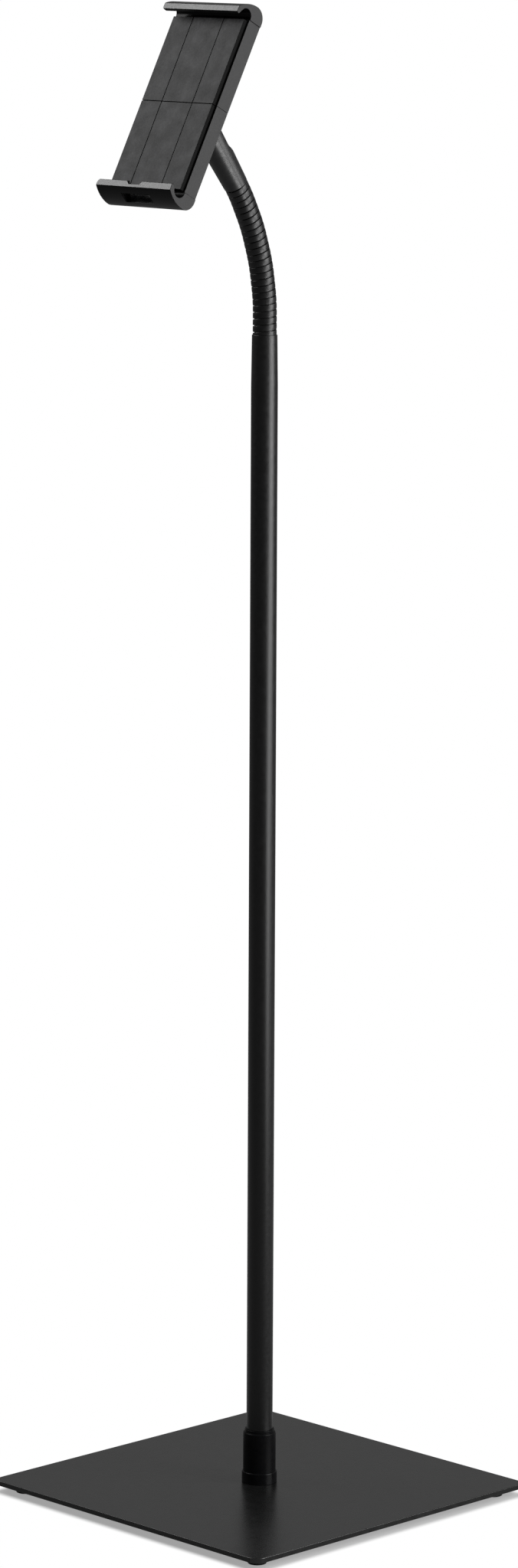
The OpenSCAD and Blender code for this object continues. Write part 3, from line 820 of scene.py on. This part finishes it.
@dataclass
class Pole:
    """The upright tube, its sleeve and the ring at its foot."""

    lip_r: float = 0.0114
    lip_h: float = 0.0022
    lip_root: float = 0.0002
    lip_round: float = 0.0005
    sleeve_round: float = 0.0011
    ring_foot: float = 0.0003
    ring_round: float = 0.0009
    bore_r: float = 0.0085
    mouth_r: float = 0.00905
    mouth_depth: float = 0.012
    draw_len: float = 0.038
    draw_round: float = 0.05
    tip_r: float = 0.0095
    rim_round: float = 0.0004

    def sleeve(self) -> Piece:
        """Builds the sleeve with a thin lip on its rounded shoulder.

        Returns:
            The sleeve.
        """
        low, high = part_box("base_sleeve")
        pole_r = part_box("pole_tube")[1].x
        shoulder = high.z - self.lip_h
        return lathe("sleeve_turned", fillet([
            (pole_r, low.z, 0.0), (high.x, low.z, 0.0), (high.x, shoulder, self.sleeve_round),
            (self.lip_r, shoulder, self.lip_root), (self.lip_r, high.z, self.lip_round),
            (pole_r, high.z, 0.0),
        ]))

    def ring(self) -> Piece:
        """Builds the ring with a round upper edge.

        Returns:
            The ring.
        """
        low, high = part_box("base_ring")
        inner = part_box("base_sleeve")[1].x
        return lathe("ring_turned", fillet([
            (inner, low.z, 0.0), (high.x, low.z, self.ring_foot),
            (high.x, high.z, self.ring_round), (inner, high.z, 0.0),
        ]))

    def tube(self) -> Piece:
        """Builds the tube, drawn in at its top.

        Returns:
            The tube.
        """
        low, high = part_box("pole_tube")
        floor = high.z - self.mouth_depth
        return lathe("tube_drawn", fillet([
            (self.bore_r, low.z, 0.0), (high.x, low.z, 0.0),
            (high.x, high.z - self.draw_len, self.draw_round), (self.tip_r, high.z, self.rim_round),
            (self.mouth_r, high.z, 0.0), (self.mouth_r, floor, 0.0), (self.bore_r, floor, 0.0),
        ]))

    def build(self) -> None:
        """Builds and dresses the pole."""
        seat(self.sleeve(), SLEEVE_BLACK, "stand", "base_sleeve")
        seat(self.ring(), RING_BLACK, "stand", "base_ring")
        seat(self.tube(), POLE_COAT, "stand", "pole_tube")
        dress_nodes(SCREW_STEEL, "pole_plug", "pole_top_insert")


@dataclass
class Neck:
    """The wound neck: one wire on a bendable core, in stretches, of which those above the last bending joint
    turn with their links.
    """

    link_count: int = 12
    outer_r: float = 0.00895
    pitch: float = 0.005
    wire_width: float = 0.00442
    wire_depth: float = 0.0006
    wire_round: float = 0.00028
    wire_crown: float = 0.0001
    section_points: int = 64
    core_r: float = 0.0079
    core_width: float = 0.0026
    core_depth: float = 0.0022
    core_round: float = 0.0022 / 3
    core_points: int = 20
    steps_per_turn: int = 48
    path_steps: int = 16
    tail: float = 0.006
    adapter_hold: float = 0.001
    cut_gap: float = 0.00001

    def places(self) -> list[Vector]:
        """Gives the ends of the links: the neck's foot, then each joint in turn."""
        found = [Vector(j["pos_m"]) for j in frame["joints"] if j["name"].startswith("neck_")]
        return [2 * found[0] - found[1], *found]

    def path(self, places: Sequence[Vector], breaks: Sequence[Vector]) -> list[Vector]:
        """Rounds the links off into one path.

        Args:
            places: The ends of the links.
            breaks: The middles of the links, and of the stretch above the last joint.

        Returns:
            The path's points: one below the first break, then the same number for every joint.
        """
        half_link = (places[1] - places[0]).length / 2
        points = [places[0] - Vector((0, 0, self.tail + half_link))]
        for start, control, end in zip(breaks, places[1:], breaks[1:]):
            for k in range(self.path_steps):
                share = k / self.path_steps
                first, last = start.lerp(control, share), control.lerp(end, share)
                points.append(first.lerp(last, share))
        return [*points, breaks[-1]]

    def stretch(self, number: int, path: Piece, start: float, end: float) -> Piece:
        """Winds one stretch of the outer wire and of the inner wire behind its grooves.

        Args:
            number: The stretch's number, from the pole.
            path: The curve in the neck's middle.
            start: Where it starts along the path.
            end: Where it ends along the path.

        Returns:
            The stretch, with its finish.
        """
        shared = dict(
            path=path, start=start, end=end, pitch=self.pitch, steps=self.steps_per_turn,
            material=NECK_COAT.material(),
        )
        outer = grown(
            "outer_wire", Repeat.WOUND, coil_radius=self.outer_r - self.wire_depth / 2 - self.wire_crown,
            wire_width=self.wire_width, wire_depth=self.wire_depth, wire_round=self.wire_round,
            crown=self.wire_crown, section_points=self.section_points, **shared,
        )
        inner = grown(
            "inner_wire", Repeat.WOUND, coil_radius=self.core_r - self.core_depth / 2, phase=math.pi,
            wire_width=self.core_width, wire_depth=self.core_depth, wire_round=self.core_round,
            section_points=self.core_points, **shared,
        )
        return dress(smoothed(joined(f"neck_wire_{number}", outer, inner)), NECK_COAT)

    def build(self) -> None:
        """Builds and dresses the neck.

        Up to the last bending joint, a stretch runs from link to link and bends between them. Above it,
        each link has a stretch of its own, cut where the wire crosses the sideways joint's axis.
        """
        places = self.places()
        half_link = (places[1] - places[0]).length / 2
        end_axis = (Vector(joint("holder_tilt")["pos_m"]) - places[-1]).normalized()
        breaks = [(a + b) / 2 for a, b in zip(places, places[1:])] + [places[-1] + end_axis * half_link]
        points = self.path(places, breaks)
        bending = sum(j["name"].startswith("neck_bend") for j in frame["joints"])
        marks = [self.length(points[: 2 + k * self.path_steps]) for k in range(self.link_count)]
        joint_marks = [mark + half_link for mark in marks]
        cuts = [self.crossing(mark) for mark in joint_marks[bending:-1]]
        top = joint_marks[-1] + Adapter.foot + self.adapter_hold
        starts = [0.0, *marks[1:bending], *(cut + self.cut_gap for cut in cuts)]
        ends = [*marks[1:bending], *(cut - self.cut_gap for cut in cuts), top]
        bodies = ["stand", *(f"neck_{k}" for k in range(2, self.link_count + 1))]
        path = path_curve("neck_path", points)
        for k, (start, end) in enumerate(zip(starts, ends)):
            piece = self.stretch(k + 1, path, start, end)
            if k < bending:
                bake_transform(piece)
                stood_for = [k + 1, k + 2] if k == bending - 1 else [k + 1]
            else:
                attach(piece, bodies[k + 1])
                stood_for = [k + 2]
            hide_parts(*(f"neck_winding_{number}" for number in stood_for))
            LOG.info("%s for windings %s", piece.name, stood_for)
        bpy.data.objects.remove(path)
        dress_nodes(CORE_STEEL, "neck_root", *(f"neck_link_{k}" for k in range(2, self.link_count + 1)))

    def crossing(self, mark: float) -> float:
        """Gives the place nearest a mark at which the wire is right in front of or behind the path."""
        half_pitch = self.pitch / 2
        return half_pitch * (round(mark / half_pitch - 0.5) + 0.5)

    @staticmethod
    def length(points: Sequence[Vector]) -> float:
        """Gives the length of a run of points."""
        return sum((b - a).length for a, b in zip(points, points[1:]))


@dataclass
class Adapter:
    """The tapered piece on the neck's end, slotted for the hinge lug."""

    foot: float = 0.002875
    foot_round: float = 0.0004
    low_r: float = 0.00915
    top_r: float = 0.011
    top_round: float = 0.012
    stem_r: float = 0.008
    stem_round: float = 0.0078
    crown_len: float = 0.01
    flat_len: float = 0.0272
    flat_slope: float = 2.2
    flat_back: float = 0.004
    flat_round: float = 0.006
    slot_half: float = 0.0038
    slot_floor: float = 0.0556
    ear_face: float = 0.0064
    head_r: float = 0.0046
    nut_r: float = 0.0048
    pin_r: float = 0.00255
    ease: float = 0.0003

    def build(self) -> None:
        """Builds and dresses the adapter and its hinge bolt."""
        hinge = Vector(joint("holder_tilt")["pos_m"])
        start = next(Vector(j["pos_m"]) for j in frame["joints"] if j["child"] == "adapter")
        length = (hinge - start).length
        tip = length + self.stem_r
        body = lathe("adapter_turned", fillet([
            (0.0, self.foot, 0.0), (self.low_r, self.foot, self.foot_round),
            (self.top_r, length - self.crown_len, self.top_round), (self.stem_r, length, 0.0),
            (self.stem_r, tip, self.stem_round), (0.0, tip, 0.0),
        ], steps=12))
        wide = 2 * self.top_r
        shoulder = length - self.flat_len
        back, far, top = self.flat_back, self.flat_back + wide, length + wide
        relief_outline = fillet([
            (back, shoulder, self.flat_round), (far, shoulder - self.flat_slope * wide, 0.0),
            (far, top, 0.0), (back, top, 0.0),
        ])
        tools = [
            prism("relief", relief_outline, -wide, wide),
            block("slot", (-self.slot_half, -wide, self.slot_floor), (self.slot_half, wide, top)),
            self.recess("head_recess", self.head_r, self.ear_face, wide, length),
            self.recess("nut_recess", self.nut_r, -wide, -self.ear_face, length),
            self.recess("pin_hole", self.pin_r, -wide, wide, length),
        ]
        piece = eased(cut(body, *tools), self.ease, segments=2)
        turn = Vector((0, 0, 1)).rotation_difference(hinge - start).to_matrix().to_4x4()
        piece.data.transform(Matrix.Translation(start) @ turn)
        seat(piece, ADAPTER_BLACK, "adapter", "neck_adapter")
        dress_nodes(SCREW_STEEL, "hinge_bolt", "hinge_nut")
        dress_nodes(WASHER_NYLON, "hinge_washers")

    @staticmethod
    def recess(name: str, radius: float, start: float, end: float, height: float) -> Piece:
        """Makes a round cutter along X at a height.

        Args:
            name: The cutter's name.
            radius: Its radius.
            start: Its first end along X.
            end: Its last end along X.
            height: Its height above the adapter's own origin.

        Returns:
            The cutter.
        """
        piece = rod(name, radius, start, end, steps=48)
        piece.data.transform(Matrix.Translation((0, 0, height)) @ Matrix.Rotation(math.pi / 2, 4, "Y"))
        return piece


class Half(Enum):
    """The two halves of the holder, with the word that their names start with."""

    UPPER = "upper"
    LOWER = "lower"


@dataclass
class Holder:
    """The clamp: two shells with pads, hooks and a sprung slide, on a turning hub."""

    shell_w: float = 0.0774
    back_z: float = 0.0114
    front_z: float = 0.0236
    half_len: float = 0.069
    seam: float = 0.00016
    side_wall: float = 0.003
    wall: float = 0.0025
    edge_ease: float = 0.00025
    notch_r: float = 0.0085
    pad_t: float = 0.0036
    pad_margin: float = 0.00165
    pad_seam: float = 0.00022
    pad_mid_w: float = 0.0315
    pad_gap: float = 0.0005
    pad_ease: float = 0.00015
    hook_w: float = 0.0784
    hook_ease: float = 0.0003
    lip_gap: float = 0.0123
    lip_t: float = 0.0024
    lip_face: float = 0.00475
    lip_draw: float = 0.0004
    lip_slant: float = 0.0009
    upper_corner: float = 0.003
    lower_corner: float = 0.0055
    hook_round: float = 0.00945
    hook_back: float = 0.0025
    front_round: float = 0.026
    throat_r: float = 0.0053
    throat_straight: float = 0.0009
    cable_notch: Point = (0.016, 0.0026)
    notch_lean: float = 0.0024
    cable_window: Point = (0.03, 0.0084)
    window_mid: float = 0.0059
    screw_x: float = 0.018
    screw_rows: Point = (0.028, 0.054)
    counterbore: Point = (0.003, 0.0014)
    spring_x: float = 0.03185
    spring_z: float = 0.0175
    spring_d: float = 0.0044
    spring_wire: float = 0.0006
    spring_round: float = 0.00024
    spring_ends: Point = (-0.0605, 0.0065)
    hub_gap: float = 0.0001
    hub_r: float = 0.018
    hub_t: float = 0.003
    hub_rounds: Point = (0.0009, 0.0006)
    lug_t: float = 0.0064
    lug_r: float = 0.007
    lug_sink: float = 0.0005
    lug_ease: float = 0.0003
    spigot_r: float = 0.00695
    spigot_len: float = 0.0048
    spigot_round: float = 0.0003

    def place(self) -> Matrix:
        """Gives the holder's own frame: Y up the holder and Z to the user, from the hinge.

        Returns:
            The matrix from that frame to the frame of the CAD model.
        """
        hinge = Vector(joint("holder_tilt")["pos_m"])
        outwards = Vector(joint("holder_turn")["axis"])
        lean = math.atan2(outwards.z, -outwards.y)
        return Matrix.Translation(hinge) @ Matrix.Rotation(math.pi / 2 - lean, 4, "X")

    def settle(self, piece: Piece, half: Half) -> Piece:
        """Moves a piece that was built as part of the upper half to its place in either half.

        Args:
            piece: The piece, in the holder's frame.
            half: The half that it belongs to.

        Returns:
            The same object, in the frame of the CAD model.
        """
        if half is Half.LOWER:
            piece.data.transform(Matrix.Scale(-1, 4, (0, 1, 0)))
            piece.data.flip_normals()
        piece.data.transform(self.place())
        return piece

    def shell(self, half: Half) -> Piece:
        """Builds one shell, open at the seam.

        Args:
            half: The half that it belongs to.

        Returns:
            The shell.
        """
        wide = self.shell_w / 2
        inner = wide - self.side_wall
        name = f"{half.value}_shell_eased"
        shell = block(name, (-wide, self.seam / 2, self.back_z), (wide, self.half_len, self.front_z))
        eased(shell, self.edge_ease)
        low = (-inner, -self.wall, self.back_z + self.wall)
        high = (inner, self.half_len - self.wall, self.front_z - self.wall)
        back = self.back_z - self.wall
        notch = rod("hub_notch", self.notch_r, back, self.back_z + 2 * self.wall, steps=64)
        tools = [block("cavity", low, high), notch]
        if half is Half.LOWER:
            radius, depth = self.counterbore
            for row in self.screw_rows:
                for x in (-self.screw_x, self.screw_x):
                    tool = rod("counterbore", radius, back, self.back_z + depth, steps=32)
                    tool.data.transform(Matrix.Translation((x, row, 0)))
                    tools.append(tool)
        return self.settle(cut(shell, *tools), half)

    def pads(self, half: Half) -> dict[str, Piece]:
        """Builds the three pads of a half.

        Args:
            half: The half that they belong to.

        Returns:
            The pads by the name of their side.
        """
        edge = self.shell_w / 2 - self.pad_margin
        inner = self.pad_mid_w / 2
        outer = inner + self.pad_gap
        spans = {"left": (-edge, -outer), "middle": (-inner, inner), "right": (outer, edge)}
        low_y, high_y = self.pad_seam, self.half_len - self.pad_margin / 2
        pads = {}
        for side, (left, right) in spans.items():
            low, high = (left, low_y, self.front_z), (right, high_y, self.front_z + self.pad_t)
            pad = eased(block(f"{half.value}_pad_{side}_soft", low, high), self.pad_ease)
            pads[side] = self.settle(pad, half)
        return pads

    def hook_outline(self) -> list[Point]:
        """Gives a hook's outline, with the distance past the shell's end and the height in the holder.

        Returns:
            The points of the outline.
        """
        depth = self.front_z - self.back_z
        back_mid = Vector((self.hook_round - depth, self.hook_back))
        lip_edge = Vector((self.lip_gap + self.lip_t - self.lip_draw, self.lip_face))
        away = lip_edge - back_mid
        apart = self.front_round - self.hook_round
        along = (apart ** 2 - self.front_round ** 2 + away.length_squared) / (2 * away.length)
        across = math.sqrt(apart ** 2 - along ** 2)
        ahead = away.normalized()
        front_mid = back_mid + along * ahead + across * Vector((ahead.y, -ahead.x))
        meet, edge = back_mid - front_mid, lip_edge - front_mid
        throat_mid = Vector((self.throat_r, self.throat_straight))
        lip = Vector((self.lip_gap, -self.lip_slant)) - throat_mid
        lip_angle = math.atan2(lip.y, lip.x) + math.acos(self.throat_r / lip.length)
        meet_angle, edge_angle = math.atan2(meet.y, meet.x), math.atan2(edge.y, edge.x)
        profile = [
            (-depth, 0.0), *arc(back_mid, self.hook_round, math.pi, meet_angle),
            *arc(front_mid, self.front_round, meet_angle, edge_angle),
            (self.lip_gap + self.lip_t, 0.0), (self.lip_gap, -self.lip_slant),
            *arc(throat_mid, self.throat_r, lip_angle, math.pi), (0.0, 0.0),
        ]
        return [(self.half_len + past, self.front_z + front) for front, past in profile]

    def hook(self, half: Half) -> Piece:
        """Builds one hook; the lower one has a cable notch and a cable window.

        Args:
            half: The half that it belongs to.

        Returns:
            The hook.
        """
        end = self.hook_w / 2
        hook = eased(prism(f"{half.value}_hook_eased", self.hook_outline(), -end, end), self.hook_ease)
        tools = [self.lip_cutter("corner", self.corner_outline(half))]
        if half is Half.LOWER:
            window_w, window_d = self.cable_window
            middle = self.front_z + self.window_mid
            past = self.half_len + self.hook_back + self.hook_round + self.wall
            window = block(
                "window", (-window_w / 2, self.half_len + self.throat_straight, middle - window_d / 2),
                (window_w / 2, past, middle + window_d / 2),
            )
            tools += [self.lip_cutter("notch", self.notch_outline()), window]
        return self.settle(cut(hook, *tools), half)

    def notch_outline(self) -> list[Point]:
        """Gives the outline of the cable notch, whose sides lean in.

        Returns:
            The points of the outline.
        """
        width, depth = self.cable_notch
        top, lean = width / 2, width / 2 - self.notch_lean
        side = [(top, self.half_len - self.wall), (top, self.half_len), (lean, self.half_len + depth)]
        return [*side, *((-x, y) for x, y in reversed(side))]

    def corner_outline(self, half: Half) -> list[Point]:
        """Gives the outline of what is taken off at the left end of a lip's edge, to round its corner.

        Args:
            half: The half that the lip belongs to.

        Returns:
            The points of the outline.
        """
        radius = self.upper_corner if half is Half.UPPER else self.lower_corner
        end, edge = -self.hook_w / 2, self.half_len - self.lip_slant
        inner, upper = end + radius, edge + radius
        outer, lower = end - radius, edge - radius
        rounded = arc((inner, upper), radius, -math.pi / 2, -math.pi)
        return [*rounded, (outer, upper), (outer, lower), (inner, lower)]

    def lip_cutter(self, name: str, outline: Sequence[Point]) -> Piece:
        """Makes a cutter through a lip, from its outline across the holder and along it."""
        heights = (self.front_z + self.throat_r, self.front_z + 2 * self.lip_gap)
        return stacked(name, [[(x, y, z) for x, y in outline] for z in heights])

    def springs(self) -> Piece:
        """Builds the two clamp springs.

        Returns:
            The springs as one piece.
        """
        place = self.place()
        springs = []
        for x in (-self.spring_x, self.spring_x):
            ends = [place @ Vector((x, y, self.spring_z)) for y in self.spring_ends]
            path = path_curve("spring_path", ends)
            spring = grown(
                "spring", Repeat.WOUND, path=path, start=0.0, end=(ends[1] - ends[0]).length,
                coil_radius=(self.spring_d - self.spring_wire) / 2, pitch=2 * self.spring_wire,
                wire_width=self.spring_wire, wire_depth=self.spring_wire, wire_round=self.spring_round,
                crown=0.0, section_points=16, steps=16, material=SPRING_STEEL.material(),
            )
            springs.append(spring)
            bpy.data.objects.remove(path)
        return joined("springs_wound", *springs)

    def hub(self) -> Piece:
        """Builds the turntable with its hinge lug and spigot.

        Returns:
            The hub.
        """
        top = self.back_z - self.hub_gap
        low = top - self.hub_t
        tip = top + self.spigot_len
        low_round, top_round = self.hub_rounds
        disc = lathe("hub_turned", fillet([
            (0.0, low, 0.0), (self.hub_r, low, low_round), (self.hub_r, top, top_round),
            (self.spigot_r, top, 0.0), (self.spigot_r, tip, self.spigot_round), (0.0, tip, 0.0),
        ]))
        root, side = low + self.lug_sink, self.lug_t / 2
        outline = [(self.lug_r, root), *arc((0, 0), self.lug_r, 0, -math.pi), (-self.lug_r, root)]
        lug = eased(prism("lug", outline, -side, side), self.lug_ease, segments=2)
        pin = Adapter.recess("pin_hole", Adapter.pin_r, -self.lug_t, self.lug_t, 0.0)
        hub = joined("hub_turntable", disc, cut(lug, pin))
        hub.data.transform(self.place())
        return hub

    def build(self) -> None:
        """Builds and dresses the holder."""
        place = self.place()
        front, across = place.to_3x3().col[2], place.to_3x3().col[0]
        face_reach = place.translation.dot(front) + self.front_z - self.wall / 2
        lip_reach = place.translation.dot(front) + self.front_z + self.lip_gap
        end_reach = self.shell_w / 2
        for half in Half:
            side = half.value
            body = f"{side}_half"
            shell = seat(self.shell(half), SHELL_GREY, body, f"{side}_shell")
            # The shell's front face gets the near-black painted shade.
            face_finish(shell, PAD_PAINTED_SHADE, (front, face_reach))
            hook = seat(self.hook(half), HOOK_BLACK, body, f"{side}_hook")
            # The lips' front faces get the grain with its painted sheen.
            face_finish(hook, HOOK_GRAIN_SHEEN, (front, lip_reach))
            face_finish(hook, SHELL_GREY, (across, end_reach), (-across, end_reach))
            for strip, pad in self.pads(half).items():
                # Each pad is near-black painted shade on its sides and edges; its front face gets the rubber.
                seat(pad, PAD_PAINTED_SHADE, body, f"{side}_pad_{strip}")
                face_finish(pad, PAD_RUBBER, (front, face_reach))
            dress_nodes(SCREW_STEEL, f"{side}_hook_screws")
        springs = dress(self.springs(), SPRING_STEEL)
        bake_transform(springs)
        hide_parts("clamp_springs")
        LOG.info("%s between the halves", springs.name)
        seat(self.hub(), ADAPTER_BLACK, "hub", "swivel_hub")
        dress_nodes(SLIDE_ALUMINIUM, "guide_channel", "slide_tongue")
        dress_nodes(SCREW_STEEL, "guide_screws", "tongue_screws", "swivel_washer", "swivel_screw")


# Studio


@dataclass(frozen=True)
class Softbox:
    """A soft studio lamp that faces a point of the object."""

    name: str
    centre: Triple
    target: Triple
    width: float
    height: float
    level: float
    spread: float = math.pi

    def build(self) -> None:
        """Hangs the lamp."""
        data = bpy.data.lights.new(self.name, "AREA")
        data.shape = "RECTANGLE"
        data.size = self.width
        data.size_y = self.height
        data.spread = self.spread
        data.energy = self.level * math.pi * self.width * self.height
        lamp = placed(self.name, data)
        lamp.location = self.centre
        facing = Vector(self.target) - Vector(self.centre)
        lamp.rotation_euler = facing.to_track_quat("-Z", "Y").to_euler()


LAMPS = (
    Softbox("right_wall", (2.07, 0.92, 1.3), (0.0, 0.0, 0.7), width=1.6, height=2.1, level=10.8),
    Softbox(
        "low_right", (1.25, 0.14, 0.25), (0.0, -0.035, 1.0),
        width=0.7, height=0.5, level=1.5, spread=math.radians(54),
    ),
    Softbox("left_front", (-1.58, -1.05, 2.2), (0.0, -0.09, 1.06), width=1.0, height=1.6, level=6.0),
)


@dataclass
class Studio:
    """The floor, the lamps and the camera."""

    azimuth: float = math.radians(45.447)
    pitch: float = math.radians(9.475)
    roll: float = math.radians(0.266)
    camera_place: Triple = (3.0486, -3.00515, 1.26726)
    sensor: float = 36.0
    lens: float = 132.33
    floor_size: float = 400.0
    floor_colour: float = 0.3
    shadow_reach: Point = (0.141, 0.1495)
    near_white: float = 0.35
    mirrored_white: float = 0.1
    ambient: float = 0.18

    def camera(self) -> None:
        """Sets up the camera at the photograph's angle."""
        data = bpy.data.cameras.new("camera")
        data.sensor_fit = "VERTICAL"
        data.sensor_height = self.sensor
        data.lens = self.lens
        data.clip_end = self.floor_size
        camera = placed("camera", data)
        turn = Matrix.Rotation(self.azimuth, 4, "Z") @ Matrix.Rotation(math.pi / 2 - self.pitch, 4, "X")
        roll = Matrix.Rotation(self.roll, 4, "Z")
        camera.matrix_world = Matrix.Translation(self.camera_place) @ turn @ roll
        bpy.context.scene.camera = camera

    def seen_white(self, graph: Graph) -> Socket:
        """Adds nodes for how white the surroundings look: fully to the camera, faintly in a mirror.

        Args:
            graph: The tree that the nodes go into.

        Returns:
            The share of white, from 0 to 1.
        """
        rays = graph.add("ShaderNodeLightPath").outputs
        mirrored = graph.math("MAXIMUM", rays["Is Glossy Ray"], rays["Is Transmission Ray"])
        faint = graph.math("MULTIPLY", mirrored, self.mirrored_white)
        return graph.math("MAXIMUM", rays["Is Camera Ray"], faint)

    def floor_material(self) -> bpy.types.Material:
        """Builds a pale floor that looks white and goes matte in a band round the plate, where it takes the
        object's real shadow and the mask itself paints a grey contact shade.

        Returns:
            The material.
        """
        material = bpy.data.materials.new("pale_floor")
        graph = Graph.emptied(material)
        paint = [self.floor_colour] * 3 + [1.0]
        matte = graph.out("ShaderNodeBsdfDiffuse", {"Color": paint})
        white = graph.out("ShaderNodeEmission", {"Strength": 1.0})
        place = graph.add("ShaderNodeTexCoord").outputs["Object"]
        axes = graph.add("ShaderNodeSeparateXYZ", {0: place}).outputs
        away = graph.math("MAXIMUM", *(graph.math("ABSOLUTE", axes[name]) for name in ("X", "Y")))
        # The square mask greys the floor under and just round the plate whether or not a shadow falls there:
        # painted contact shade on top of the real shadow.
        near, far = self.shadow_reach
        fade = {"Value": away, "From Min": near, "From Max": far, "To Min": self.near_white}
        share = graph.out("ShaderNodeMapRange", fade, interpolation_type="SMOOTHSTEP")
        factor = graph.math("MULTIPLY", self.seen_white(graph), share)
        mixed = graph.out("ShaderNodeMixShader", {0: factor, 1: matte, 2: white})
        graph.add("ShaderNodeOutputMaterial", {"Surface": mixed})
        return material

    def build(self) -> None:
        """Builds the floor, the lamps and the camera."""
        half = self.floor_size / 2
        shape = bmesh.new()
        shape.faces.new([shape.verts.new((x * half, y * half, 0)) for x, y in SQUARE])
        floor = new_piece("floor", shape)
        floor.data.materials.append(self.floor_material())
        world = bpy.data.worlds.new("studio")
        graph = Graph.emptied(world)
        brighter = graph.math("MULTIPLY", self.seen_white(graph), 1 - self.ambient)
        strength = graph.math("ADD", brighter, self.ambient)
        white = graph.out("ShaderNodeBackground", {"Color": (1.0, 1.0, 1.0, 1.0), "Strength": strength})
        graph.add("ShaderNodeOutputWorld", {"Surface": white})
        bpy.context.scene.world = world
        for lamp in LAMPS:
            lamp.build()
        self.camera()
        bpy.context.scene.view_settings.view_transform = "Standard"


def main() -> None:
    """Builds the studio and the stand, piece by piece."""
    logging.basicConfig(level=logging.INFO, format="%(message)s")
    Studio().build()
    for assembly in (Base(), Pole(), Neck(), Adapter(), Holder()):
        assembly.build()
        LOG.info("%s done", type(assembly).__name__)


if __name__ == "__main__":
    main()
